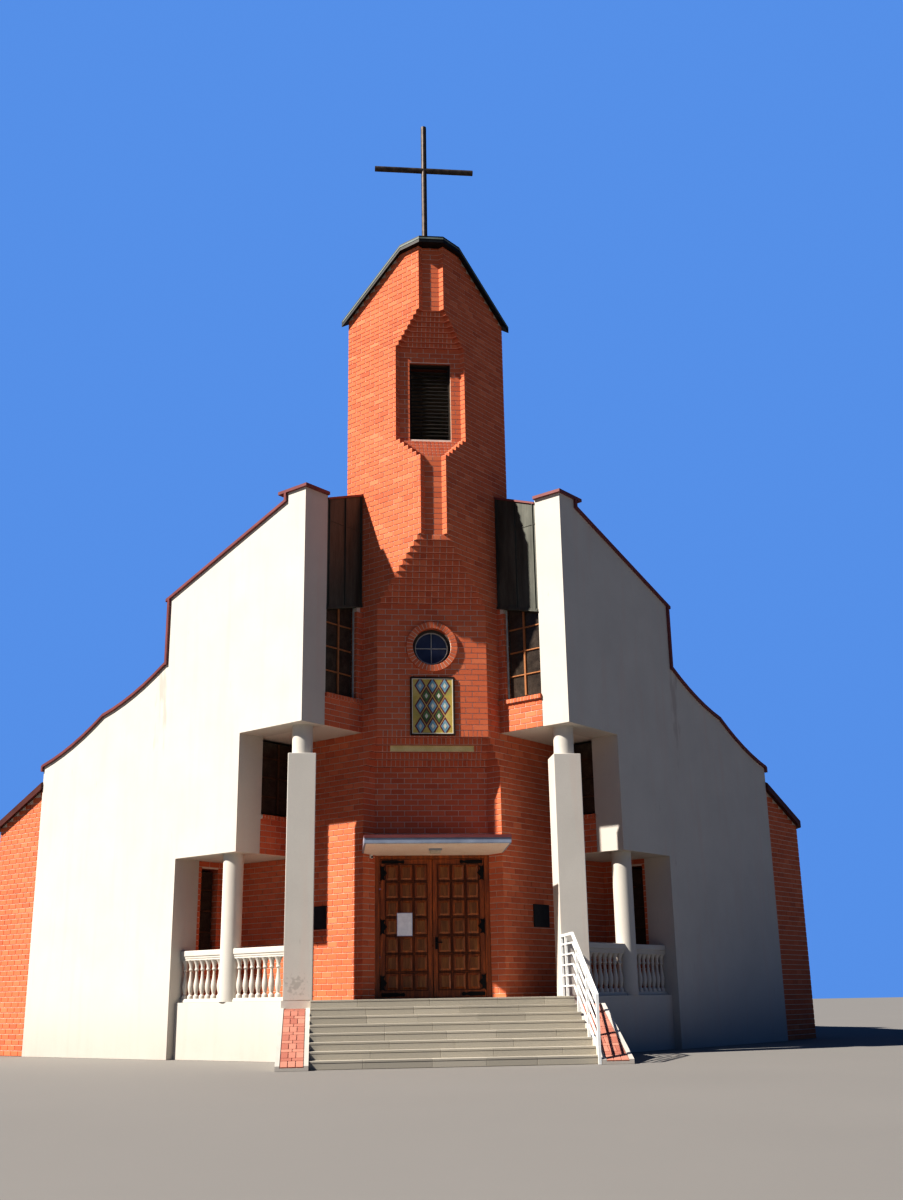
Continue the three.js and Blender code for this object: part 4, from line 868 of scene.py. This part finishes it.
class CHURCH_OT_door(bpy.types.Operator):
    """Fit the raised panels, mouldings and iron straps on the door's leaves"""
    bl_idname = "church.door"
    bl_label = "Door"

    def execute(self, context):
        for side, sign in SIDES:
            self.panels(side, sign)
            self.straps(side, sign)
        bm = bmesh.new()
        y = LEAF_Y + PLAN_Y
        rim(bm, -0.665, -0.375, 2.1, 2.52, y - 0.026, y - 0.018, 0.016, bevel=0.002, index=1)
        block(bm, (-0.655, y - 0.0215, 2.11), (-0.385, y - 0.0195, 2.51))
        piece("blank_notice", bm, ["paper", "clear_sleeve"], body="left_door", sharp=0)
        return {"FINISHED"}

    def panels(self, side, sign):
        settings = bpy.context.scene.church_joinery
        bm = bmesh.new()
        y = LEAF_Y + PLAN_Y
        x0, x1, z0, z1 = 0.085, 0.885, 1.135, 3.41  # the panelled part of a leaf
        across = (x1 - x0) / settings.across
        up = (z1 - z0) / settings.up
        stile, moulding = 0.022, 0.016
        for i in range(settings.across):
            for j in range(settings.up):
                left, right = sorted(sign * (x0 + (i + k) * across + (1 - 2 * k) * stile)
                                     for k in (0, 1))
                foot, top = z0 + j * up + stile, z0 + (j + 1) * up - stile
                rim(bm, left - moulding, right + moulding, foot - moulding, top + moulding,
                    y - 0.016, y - 0.0005, 0.018, bevel=0.005, index=1)
                verts = block(bm, (left + 0.006, y - 0.002, foot + 0.006),
                              (right - 0.006, y - 0.0005, top - 0.006))
                face = [f for f in faces_of(verts) if f.normal.y < -0.9]
                bmesh.ops.inset_individual(bm, faces=face, thickness=0.006)
                bmesh.ops.inset_individual(bm, faces=face, thickness=0.045, depth=0.016)
                paint(face, 2)
        # the mouldings take a painted groove shade and the raised fields a painted highlight
        wood = ["varnished_oak", "oak_with_painted_groove_shade", "oak_with_painted_highlight"]
        piece(f"{side}_door_panels", bm, wood, body=f"{side}_door")

    def straps(self, side, sign):
        bm = bmesh.new()
        # the lower halves of a long strap and of a leaf-shaped one
        strap = [(0.02, -0.03), (0.30, -0.034), (0.36, -0.018), (0.43, -0.036)]
        leaf = [(0.0, -0.15), (0.03, -0.115), (0.085, -0.13), (0.06, -0.07)]
        strap += [(0.45, 0.0)] + [(x, -z) for x, z in reversed(strap)]
        leaf += [(0.12, 0.0)] + [(x, -z) for x, z in reversed(leaf)]
        for outline, z in ((strap, 3.445), (leaf, 3.24), (leaf, 2.27), (leaf, 1.28), (strap, 1.075)):
            place = Matrix.Translation((sign * 0.965, LEAF_Y + PLAN_Y, z)) @ UPRIGHT
            place = place @ Matrix.Scale(-sign, 4, (1, 0, 0))
            prism(bm, outline, 0.0165, 0.0225, place, 0.002, 1)
        bmesh.ops.recalc_face_normals(bm, faces=bm.faces)
        piece(f"{side}_door_straps", bm, ["painted_iron"], body=f"{side}_door")


class CHURCH_OT_canopy(bpy.types.Operator):
    """Make the canopy's fascia, soffit and flashing, and the lamp under it"""
    bl_idname = "church.canopy"
    bl_label = "Canopy"

    def execute(self, context):
        half, front, back = 1.32, 2.0, 3.312  # back is the plane of the wall over the door
        low, high, rise = DOOR_HEAD - 0.01, DOOR_HEAD + 0.195, 0.07
        reveal = NOSE_Y - 2 * SEAM * DIAGONAL  # the oblique walls' plane, where it meets the middle
        right = [(half, front), (half, half + reveal), (1.3, 1.3 + reveal), (1.0747, back)]
        outline = [(x, y + PLAN_Y) for x, y in right]
        outline += [(-x, y) for x, y in reversed(outline)]
        bm = bmesh.new()
        prism(bm, outline, low, high, bevel=0.005)
        inner = [(x * 0.975, max(y, front + 0.03 + PLAN_Y)) for x, y in outline]
        prism(bm, inner, low - 0.008, low + 0.02, index=1)
        for vert in bm.verts:  # the soffit rises towards the front, and the top stays level
            share = (back + PLAN_Y - vert.co.y) / (back - front)
            vert.co.z += rise * share * (high - vert.co.z) / (high - low)
        piece("canopy_board", bm, ["grey_fascia_sheet", "painted_soffit"], replaces=["canopy"])
        bm = bmesh.new()
        prism(bm, outline, high, high + 0.014)
        front += PLAN_Y
        block(bm, (-half, front - 0.012, high - 0.04), (half, front + 0.004, high + 0.014), bevel=0.003)
        piece("canopy_flashing", bm, ["coping_sheet"])
        bm = bmesh.new()
        y, z = 2.6 + PLAN_Y, DOOR_HEAD + 0.02
        block(bm, (-0.1, y - 0.06, z - 0.075), (0.1, y + 0.06, z - 0.01), bevel=0.012)
        block(bm, (-0.115, y - 0.075, z - 0.018), (0.115, y + 0.075, z + 0.006), bevel=0.004, index=1)
        piece("porch_lamp", bm, ["lamp_shade", "grey_fascia_sheet"])
        bm = bmesh.new()
        place = facing(Vector((-1.165, 3.2236 + PLAN_Y, 3.535)), (1, -1, 0))
        block(bm, (-0.03, -0.05, -0.035), (0.03, -0.009, 0.035), place, 0.006)
        lens = bmesh.ops.create_uvsphere(bm, u_segments=20, v_segments=10, radius=0.02,
                                         matrix=place @ Matrix.Translation((0, -0.048, -0.008)))
        paint(faces_of(lens["verts"]), 1)
        piece("porch_sensor", bm, ["white_enamel", "painted_iron"])
        return {"FINISHED"}


# Panels and plates

class CHURCH_OT_panels(bpy.types.Operator):
    """Frame the picture panel, the name plate and the two plaques, all without writing"""
    bl_idname = "church.panels"
    bl_label = "Panels and plates"

    def execute(self, context):
        y = PANEL_Y + PLAN_Y - SEAM
        bm = bmesh.new()
        rim(bm, -0.425, 0.425, 5.745, 6.88, y - 0.045, y, 0.03, bevel=0.005)
        rim(bm, -0.395, 0.395, 5.775, 6.85, y - 0.036, y - 0.002, 0.026, bevel=0.003, index=1)
        block(bm, (-0.38, y - 0.03, 5.79), (0.38, y - 0.004, 6.835), index=2)
        upright = Matrix.Translation((0, y, 0)) @ UPRIGHT

        def lozenge(x, z, reach, rise, out, index):
            outline = [(x, z - rise), (x + reach, z), (x, z + rise), (x - reach, z)]
            prism(bm, outline, 0.02, out, upright, 0.001, 1, index)

        for row in range(5):  # rows of three and two in turn, in two colours
            count, inner = (2, 5) if row % 2 else (3, 4)
            for column in range(count):
                x = (column - (count - 1) / 2) * 0.236
                z = 6.3125 + (row - 2) * 0.196
                lozenge(x, z, 0.107, 0.178, 0.032, 3)
                lozenge(x, z, 0.081, 0.135, 0.034, inner)
                lozenge(x, z, 0.034, 0.056, 0.036, 1)
        bmesh.ops.recalc_face_normals(bm, faces=bm.faces)
        surfaces = ["dark_frame_wood", "pale_border_paint", "gilt_ground", "madder_paint", "blue_paint",
                    "green_paint"]
        piece("ornament_panel", bm, surfaces, replaces=["icon_panel"])
        bm = bmesh.new()
        low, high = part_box("name_plate")
        face = high.y
        rim(bm, low.x, high.x, low.z, high.z, face - 0.016, face, 0.012, bevel=0.002)
        block(bm, (low.x + 0.01, face - 0.012, low.z + 0.01),
              (high.x - 0.01, face - 0.002, high.z - 0.01))
        piece("blank_name_plate", bm, ["tan_plate"], replaces=["name_plate"])

        def plaque(bm):
            place = facing(Vector((1.95, 1.95 + NOSE_Y + PLAN_Y, 0)), (1, -1, 0))
            block(bm, (0.0, -0.028, 2.265), (0.495, -0.0005, 2.685), place, 0.004)

        both_sides("plaque", plaque, ["dark_plaque_metal"])
        return {"FINISHED"}


# Sheet metal

class CHURCH_OT_sheet_metal(bpy.types.Operator):
    """Add the seams of the cladding and the roofs, and the boards under the tower's roof"""
    bl_idname = "church.sheet_metal"
    bl_label = "Sheet metal"

    def execute(self, context):
        both_sides("cladding_seams", self.cladding, ["bronze_sheet", "coping_sheet"])
        self.roof_seams()
        self.verge_boards()
        return {"FINISHED"}

    def cladding(self, bm):
        """Upright seams, a cross joint, a folded lip at the foot and a flashing at the sloping head."""
        place = facing(bay(0, 0), (-1, -1, 0))
        outward = place @ UPRIGHT
        near, far = WHITE_WALL + SEAM, BAY_WIDTH - SEAM
        # both ends slope: the foot rises towards the tower and the head follows the roof
        foot = lambda depth: 8.09 + 0.26 * (depth - near) / (far - near)
        head = lambda depth: roof_height(WALL_CORNER[0] - depth * DIAGONAL) + 0.03
        for depth in (near + 0.05, (near + far) / 2, far - 0.05):
            block(bm, (-depth - 0.008, -0.022, foot(depth) + 0.05),
                  (-depth + 0.008, -SEAM, head(depth) - 0.02), place, 0.003, 1)
        block(bm, (-far, -0.008, 9.9), (-near, -SEAM, 9.92), place, 0.002, 1)
        lip = [(foot, 0.0, 0.035, 0.03, 0), (foot, 0.035, 0.07, 0.014, 0)]
        for edge, low, high, out, index in lip + [(head, -0.045, 0.0, 0.026, 1)]:
            outline = [(-near, edge(near) + low), (-near, edge(near) + high),
                       (-far, edge(far) + high), (-far, edge(far) + low)]
            prism(bm, outline, SEAM, out, outward, 0.003, 1, index)

    def roof_seams(self):
        """Standing seams that fall from the ridge to the eaves, about 0.6 m apart."""
        bm = bmesh.new()
        edge = WALL_CORNER[0] + (3.97 - WHITE_WALL) * DIAGONAL - 0.1
        inner = WALL_CORNER[1] - WALL_CORNER[0] + 2 * (WHITE_WALL + SEAM) * DIAGONAL
        front = WALL_CORNER[0] + WALL_CORNER[1] + 2 * 0.07 * DIAGONAL
        start, stop, pitch = 2.8, REAR_Y - 0.3, 0.6
        tower_reach, gap = 1.66, 0.03  # seams stop beside the tower and short of the copings
        half, high = 0.007, 0.028
        count = round((stop - start) / pitch)
        for i in range(count + 1):
            y = start + (stop - start) * i / count
            folded = min(y, 2 * MIRROR_Y - y)
            reach = min(edge, folded - inner) - gap
            near = max(0.0, tower_reach - abs(y - TOWER_Y), front + gap - y)
            for sign in (1, -1):
                xs = [near, RIDGE_FLAT, reach] if near < RIDGE_FLAT else [near, reach]
                if xs[-1] - xs[0] < 0.1:
                    continue
                outline = [(sign * x, roof_height(x)) for x in xs]
                outline += [(sign * x, roof_height(x) + high) for x in reversed(xs)]
                place = Matrix.Translation((0, y + PLAN_Y, 0)) @ UPRIGHT
                prism(bm, outline, -half, half, place)
        bmesh.ops.recalc_face_normals(bm, faces=bm.faces)
        piece("nave_roof_seams", bm, ["roof_sheet"], sharp=0)

    def verge_boards(self):
        """Pale strips along the edges of the tower's roof, with a straight one across its cut corner."""
        bm = bmesh.new()
        ridge, flat, reach, cut, drop, deep = 15.97, 0.62, 1.79, 0.25, 0.03, 0.038
        edge = lambda x: ridge - drop - max(0.0, x - flat)
        for sign in (1, -1):
            for back in (1, -1):
                n = Vector((sign, back, 0)).normalized()
                origin = Vector((0, TOWER_Y + back * reach + PLAN_Y, 0)) + n * 0.006
                xs = [cut if back < 0 else 0.0, flat, reach - 0.02]
                for a, b in zip(xs, xs[1:]):
                    corners = [(a, edge(a)), (b, edge(b)), (b, edge(b) - deep), (a, edge(a) - deep)]
                    verts = [bm.verts.new(origin + Vector((sign * x, -back * x, z)))
                             for x, z in corners]
                    raised = bmesh.ops.extrude_face_region(bm, geom=[bm.faces.new(verts)])
                    bmesh.ops.translate(bm, verts=only_verts(raised["geom"]), vec=-n * 0.03)
        y = TOWER_Y - reach + cut + PLAN_Y
        block(bm, (-cut, y - 0.006, ridge - drop - deep), (cut, y + 0.024, ridge - drop))
        bmesh.ops.recalc_face_normals(bm, faces=bm.faces)
        piece("tower_verge_boards", bm, ["pale_verge_paint"], sharp=0)


# Finishes

# Each with its tones, the sizes of its patches and grain, its relief in millimetres, its roughness
# and anything special. Paint and sheet have a grain under 1 mm, too fine to show from the camera,
# so here and below grain is drawn 5 mm wide or more.
ALONG_GRAIN = (1, 1, 0.08)
PLAIN_FINISHES = {
    # Standing-seam roof sheet: the copings' red-brown paint gone dull
    "roof_sheet": (["#54302b", "#6d3f38"], 700, 25, 0.3, 0.5, {"metallic": 0.1}),
    # Dark bronze sheet: rain has drawn it into upright streaks
    "bronze_sheet": (["#45463f", "#6a6b62"], 160, 18, 0.3, 0.5,
                     {"metallic": 0.2, "stretch": (1, 1, 0.12), "speckle": 0.3}),
    # Black roof sheet: an even dark edge with a faint sheen
    "black_sheet": (["#1b1a1a", "#2b2a2a"], 300, 20, 0.3, 0.45, {"metallic": 0.3}),
    # Weathered grey-green paint: a pale line under the black sheet
    "pale_verge_paint": (["#616b67", "#7d8782"], 200, 12, 0.3, 0.6, {}),
    # Oak of the raised fields, painted lighter as a painted highlight: lighter fields inside the dark
    # mouldings
    "oak_with_painted_highlight": (["#7a4c22", "#8f5c2a", "#a8733a"], 60, 7, 0.4, 0.36,
                   {"stretch": ALONG_GRAIN, "speckle": 0.4, "coat": 0.3}),
    # White enamel on tube: clean lines with narrow highlights
    "white_enamel": (["#e9e9e5", "#f6f6f3"], 200, 10, 0.15, 0.32, {"speckle": 0.08}),
    # Weathered steel tube: brown-grey, lighter along its lit side
    "weathered_steel_tube": (["#3f3833", "#6c6058"], 120, 8, 0.3, 0.55, {"metallic": 0.5}),
    # Brown gloss paint gone satin, darker than the ochre of the upper bars as a painted shade: bars that
    # hardly part from the dark panes
    "brown_paint_and_painted_shade": (["#4a3423", "#67492f"], 150, 10, 0.2, 0.45, {}),
    # Pale grey window paint: thin bright lines
    "pale_window_paint": (["#9fa39f", "#c3c6c1"], 150, 10, 0.2, 0.45, {}),
    # Blue tinted glass, lightened as a painted reflection of the sky: deep, smooth and mirror-like
    "blue_glass_and_painted_sky": (["#3a4359", "#535d76"], 300, 200, 0.05, 0.1, {"speckle": 0.1}),
    # Dark stained timber slats: nearly black, grained along their length
    "louvre_slats": (["#26231f", "#48423a"], 120, 9, 0.4, 0.6, {"stretch": (0.1, 1, 1)}),
    # Stained frame wood: a dark edge round the picture panel
    "dark_frame_wood": (["#2c1d14", "#3f2b1e"], 60, 6, 0.3, 0.5, {}),
    # Chalky cream paint: the light line inside that edge
    "pale_border_paint": (["#d9d2bd", "#e8e2d0"], 200, 9, 0.2, 0.6, {}),
    # Gilded ground: warm, cloudy, a little glossy
    "gilt_ground": (["#a8a468", "#cdb463", "#dcc98a"], 380, 12, 0.2, 0.5, {}),
    # Tempera in madder, blue and green: matt, soft blotches
    "madder_paint": (["#6d2f3c", "#8a4450"], 120, 9, 0.2, 0.6, {}),
    "blue_paint": (["#6f9aab", "#9dbcc6"], 120, 9, 0.2, 0.6, {}),
    "green_paint": (["#4c6b45", "#76905f"], 120, 9, 0.2, 0.6, {}),
    # Tan lacquered plate: smooth, pale and even
    "tan_plate": (["#e3d695", "#f3e8b4"], 200, 10, 0.15, 0.45, {}),
    # Blackened plaque metal: dark with a soft gleam
    "dark_plaque_metal": (["#22262b", "#343a41"], 120, 8, 0.3, 0.4, {"metallic": 0.4}),
    # Grey coated sheet of the fascia: cool and even
    "grey_fascia_sheet": (["#8b93a3", "#a3abba"], 300, 14, 0.2, 0.45, {}),
    # Cream paint of the soffit: warm and matt
    "painted_soffit": (["#f0d8c6", "#f8e6d8"], 300, 12, 0.3, 0.8, {}),
    # Frosted lamp shade: milky, with a broad highlight
    "lamp_shade": (["#b8ad9c", "#d6ccbc"], 90, 9, 0.1, 0.4, {}),
    # Clear plastic sleeve: a cool glossy rim round the paper
    "clear_sleeve": (["#b9b9cf", "#cfcfe2"], 90, 8, 0.1, 0.2, {"speckle": 0.05}),
    # Blank paper: bright and matt
    "paper": (["#e9e9ee", "#f7f7fb"], 90, 8, 0.1, 0.8, {"speckle": 0.05}),
    # Stone floor tiles: sand-coloured, worn half smooth
    "floor_tiles": (["#8a7f72", "#a89c8d"], 500, 12, 0.3, 0.5, {}),
    # Board-marked concrete: pale, cloudy and rough
    "board_concrete": (["#b5ab9b", "#cbc1b1"], 300, 10, 0.6, 0.9, {}),
}

# The finishes of the solid model's own pieces
SINGLE_NODES = {
    "lime_mortar": ["rear_wall", "wall_over_door", "tower_front_panel", "tower_front_corner",
                    "tower_back_walls"],
    "roof_sheet": ["nave_roof"],
    "black_sheet": ["tower_roof"],
    "weathered_steel_tube": ["cross"],
    "louvre_slats": ["belfry_louvres"],
    "board_concrete": ["gallery_floor"],
    "granite_landing": ["steps"],
    "white_enamel": ["hand_rail"],
    "floor_tiles": ["nave_floor"],
    "varnished_oak": ["door_frame", "right_door_leaf", "left_door_leaf"],
    "painted_iron": ["door_handle"],
}
PAIRED_NODES = {
    "lime_stucco": ["white_wall", "rear_white_wall", "terrace", "cheek"],
    "coping_sheet": ["coping", "rear_coping"],
    "roof_sheet": ["lower_roof"],
    "lime_mortar": ["brick_corner", "entrance_wall", "tower_front_wall"],
    # the bays: mortar joints, with soffits painted brighter as painted bounce light
    "bay_mortar_and_painted_bounce": ["upper_bay", "middle_bay"],
    "bronze_sheet": ["cladding"],
}


class CHURCH_OT_finishes(bpy.types.Operator):
    """Make every material and give the solid model's pieces theirs"""
    bl_idname = "church.finishes"
    bl_label = "Finishes"

    def execute(self, context):
        scene = context.scene
        brick, glazing = scene.church_brickwork, scene.church_glazing
        wood, plain = scene.church_joinery, scene.church_masonry
        # Fired clay brick: dull, slightly uneven, and each brick has a shade of its own
        finish("fired_brick", [brick.deep, brick.middle, brick.middle, brick.pale], 90, 9, 0.9, 0.88,
               tone=True, speckle=0.22)
        # Clay paving brick: paler and dustier than the walls
        finish("paving_brick", ["#a46355", "#c58c79"], 60, 8, 0.8, 0.9, tone=True)
        # Lime-cement mortar: pale dull joints, with its sand drawn coarser than it is. The level faces
        # are the beds of corbelled bricks on the walls and plastered soffits on the bays, these painted
        # brighter than the stucco as painted bounce light from the ground.
        joints = [shade(brick.mortar, 0.85), shade(brick.mortar, 1.08)]
        finish("lime_mortar", joints, 260, 6, 0.8, 0.95, level=shade(brick.deep, 0.9))
        finish("bay_mortar_and_painted_bounce", joints, 260, 6, 0.8, 0.95, level=shade(plain.stucco, 1.2))
        # Trowelled lime stucco: matt, nearly even, with faint rain marks, a soiled foot, flaked
        # paint low on one pillar and stains under the crests' steps. Its sand is drawn coarser.
        flaked = (linear("#a39e96"), (-2.5, 2.2 + PLAN_Y, 1.25), (0.35, 0.35, 0.35), 60, 0.6)
        stained = [(linear("#8d7f76"), bay(4.0, 0, sign) + Vector((0, 0, 6.8)), (0.35, 0.35, 1.7),
                    130, 0.3) for _, sign in SIDES]
        finish("lime_stucco", [shade(plain.stucco, 0.93), plain.stucco], 900, 14, 0.8, 0.93,
               speckle=0.06, streak=(plain.stain, 240, 0.3),
               dirt=(linear("#8f8378"), 0.0, 1.3, 0.5), spots=[flaked, *stained])
        # Painted steel sheet of the copings: red-brown with a satin sheen
        finish("coping_sheet", [shade(plain.coping, 0.85), shade(plain.coping, 1.1)], 500, 20, 0.2,
               0.42, metallic=0.1, speckle=0.12)
        # Sawn granite: grey with dark grains, drawn coarser, and a tone for each block
        finish("grey_granite", [shade(plain.granite, share) for share in (0.92, 1, 1.09)], 130, 5,
               0.5, 0.8, tone=True, speckle=0.4)
        # The same granite under the blocks and on the landing: cloudy and trodden
        finish("granite_landing", [shade(plain.granite, 0.85), shade(plain.granite, 1.1)], 300, 6,
               0.5, 0.8, speckle=0.35)
        # Varnished oak: warm, grained upright, with the highlights of a thin clear coat. Its pores
        # are drawn coarser than they are.
        finish("varnished_oak", [shade(wood.oak, share) for share in (0.55, 1, 1.5)], 45, 7, 0.4, 0.38,
               stretch=ALONG_GRAIN, speckle=0.45, coat=0.3)
        # The mouldings' oak, painted darker as a painted shade in the grooves: dark lines round the
        # fields
        finish("oak_with_painted_groove_shade", [shade(wood.oak, 0.18), shade(wood.oak, 0.45)], 45, 7, 0.4, 0.4,
               stretch=ALONG_GRAIN, speckle=0.45, coat=0.3)
        # Painted iron: nearly black, with a gleam on its edges
        finish("painted_iron", [wood.iron, shade(wood.iron, 1.8)], 60, 6, 0.4, 0.45, metallic=0.4)
        # Window paint: dark brown frames and ochre bars, both satin
        for name, colour, pale in (("dark_window_paint", glazing.frame_colour, 1.2),
                                   ("ochre_window_paint", glazing.bar_colour, 1.15)):
            finish(name, [shade(colour, 0.8), shade(colour, pale)], 150, 10, 0.2, 0.45)
        # Float glass: its dark tint is a painted shade of the unlit room behind and its mottle a painted
        # reflection of trees; smooth and mirror-like
        panes_and_reflection = glazing.pane_and_reflection_colour
        finish("glass_with_painted_reflection", [shade(panes_and_reflection, 0.7), shade(panes_and_reflection, 1.4)], 140, 24, 0.05, 0.16,
               speckle=0.5)
        for name, (tones, *sizes, special) in PLAIN_FINISHES.items():
            finish(name, tones, *sizes, **special)
        nodes = [(material, node) for material, some in SINGLE_NODES.items() for node in some]
        nodes += [(material, f"{side}_{node}") for material, some in PAIRED_NODES.items()
                  for node in some for side, _ in SIDES]
        for material, node in nodes:
            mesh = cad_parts[node].data
            mesh.materials.clear()
            mesh.materials.append(MATERIALS[material])
        return {"FINISHED"}


# Stage

FLOOR_REACH = 220
SUN_TURN, SUN_HEIGHT = math.radians(17.6), math.radians(43.1)  # forward of the left, and up
CAMERA_AT = (-2.112, -29.1737, 0.979)
CAMERA_YAW, CAMERA_PITCH, CAMERA_ROLL = (math.radians(angle) for angle in (6.011, 17.284, -0.959))
SENSOR = 36  # millimetres along the picture's longer side
FOCAL_SHARE = 1283.4 / 1200  # focal length over that side


class CHURCH_OT_stage(bpy.types.Operator):
    """Set the floor, the light and the camera"""
    bl_idname = "church.stage"
    bl_label = "Stage"

    def execute(self, context):
        settings = context.scene.church_stage
        # Swept concrete floor: even and matt, so that it only carries the shadow
        finish("studio_floor", [shade(settings.floor, 0.97), settings.floor], 4000, 900, 0.0, 0.9,
               speckle=0.0)
        bm = bmesh.new()
        block(bm, (-FLOOR_REACH, -FLOOR_REACH, -0.06), (FLOOR_REACH, FLOOR_REACH, -0.003))
        mesh = mesh_from("studio_floor", bm)
        mesh.materials.append(MATERIALS["studio_floor"])
        floor = bpy.data.objects.new("studio_floor", mesh)
        context.scene.collection.objects.link(floor)
        world = bpy.data.worlds.new("studio_background")
        world.use_nodes = True
        shader = world.node_tree.nodes["Background"]
        shader.inputs["Color"].default_value = (*settings.backdrop, 1)
        ray = add_node(world.node_tree, "LightPath")
        strength = add_node(world.node_tree, "MapRange", inputs={
            "Value": ray.outputs["Is Camera Ray"], "To Min": settings.fill, "To Max": settings.shown})
        world.node_tree.links.new(strength.outputs[0], shader.inputs["Strength"])
        context.scene.world = world
        context.scene.view_settings.view_transform = "Standard"
        context.scene.view_settings.look = "High Contrast"
        lamp = bpy.data.lights.new("key_light", "SUN")
        lamp.energy = settings.key
        lamp.angle = math.radians(1.2)
        lamp.color = (1.0, 0.95, 0.87)
        light = bpy.data.objects.new("key_light", lamp)
        toward = Vector((-math.cos(SUN_TURN) * math.cos(SUN_HEIGHT),
                         -math.sin(SUN_TURN) * math.cos(SUN_HEIGHT), math.sin(SUN_HEIGHT)))
        light.rotation_euler = toward.to_track_quat("Z", "Y").to_euler()
        context.scene.collection.objects.link(light)
        self.camera(context)
        return {"FINISHED"}

    def camera(self, context):
        """The camera stands low in front, a little to the left, and looks up at the tower."""
        level = Vector((math.cos(CAMERA_YAW), -math.sin(CAMERA_YAW), 0))
        ahead = Vector((math.sin(CAMERA_YAW), math.cos(CAMERA_YAW), 0))
        forward = ahead * math.cos(CAMERA_PITCH) + Vector((0, 0, math.sin(CAMERA_PITCH)))
        over = level.cross(forward)
        right = level * math.cos(CAMERA_ROLL) + over * math.sin(CAMERA_ROLL)
        up = over * math.cos(CAMERA_ROLL) - level * math.sin(CAMERA_ROLL)
        data = bpy.data.cameras.new("photo_camera")
        data.sensor_width = SENSOR
        data.lens = FOCAL_SHARE * SENSOR
        data.clip_end = 1000
        camera = bpy.data.objects.new("photo_camera", data)
        turn = Matrix((right, up, -forward)).transposed().to_4x4()
        camera.matrix_world = Matrix.Translation(CAMERA_AT) @ turn
        context.scene.collection.objects.link(camera)
        context.scene.camera = camera


class CHURCH_PT_panel(bpy.types.Panel):
    bl_label = "Church"
    bl_idname = "CHURCH_PT_panel"
    bl_space_type = "VIEW_3D"
    bl_region_type = "UI"
    bl_category = "Church"

    def draw(self, context):
        for key in SETTINGS:
            group = getattr(context.scene, key)
            box = self.layout.box()
            for name in group.bl_rna.properties.keys():
                if name not in ("rna_type", "name"):
                    box.prop(group, name)
        for operator in OPERATORS:
            self.layout.operator(operator.bl_idname)


SETTINGS = {
    "church_brickwork": BrickworkSettings,
    "church_glazing": GlazingSettings,
    "church_joinery": JoinerySettings,
    "church_masonry": MasonrySettings,
    "church_stage": StageSettings,
}
OPERATORS = [
    CHURCH_OT_stage,
    CHURCH_OT_finishes,
    CHURCH_OT_brickwork,
    CHURCH_OT_window_ring,
    CHURCH_OT_glazing,
    CHURCH_OT_balustrades,
    CHURCH_OT_steps,
    CHURCH_OT_door,
    CHURCH_OT_canopy,
    CHURCH_OT_panels,
    CHURCH_OT_sheet_metal,
]


def register():
    for group in SETTINGS.values():
        bpy.utils.register_class(group)
    for key, group in SETTINGS.items():
        setattr(bpy.types.Scene, key, bpy.props.PointerProperty(type=group))
    for operator in OPERATORS:
        bpy.utils.register_class(operator)
    bpy.utils.register_class(CHURCH_PT_panel)


def unregister():
    bpy.utils.unregister_class(CHURCH_PT_panel)
    for operator in reversed(OPERATORS):
        bpy.utils.unregister_class(operator)
    for key in SETTINGS:
        delattr(bpy.types.Scene, key)
    for group in reversed(list(SETTINGS.values())):
        bpy.utils.unregister_class(group)


def main():
    register()
    for operator in OPERATORS:
        module, name = operator.bl_idname.split(".")
        getattr(getattr(bpy.ops, module), name)()


if __name__ == "__main__":
    main()
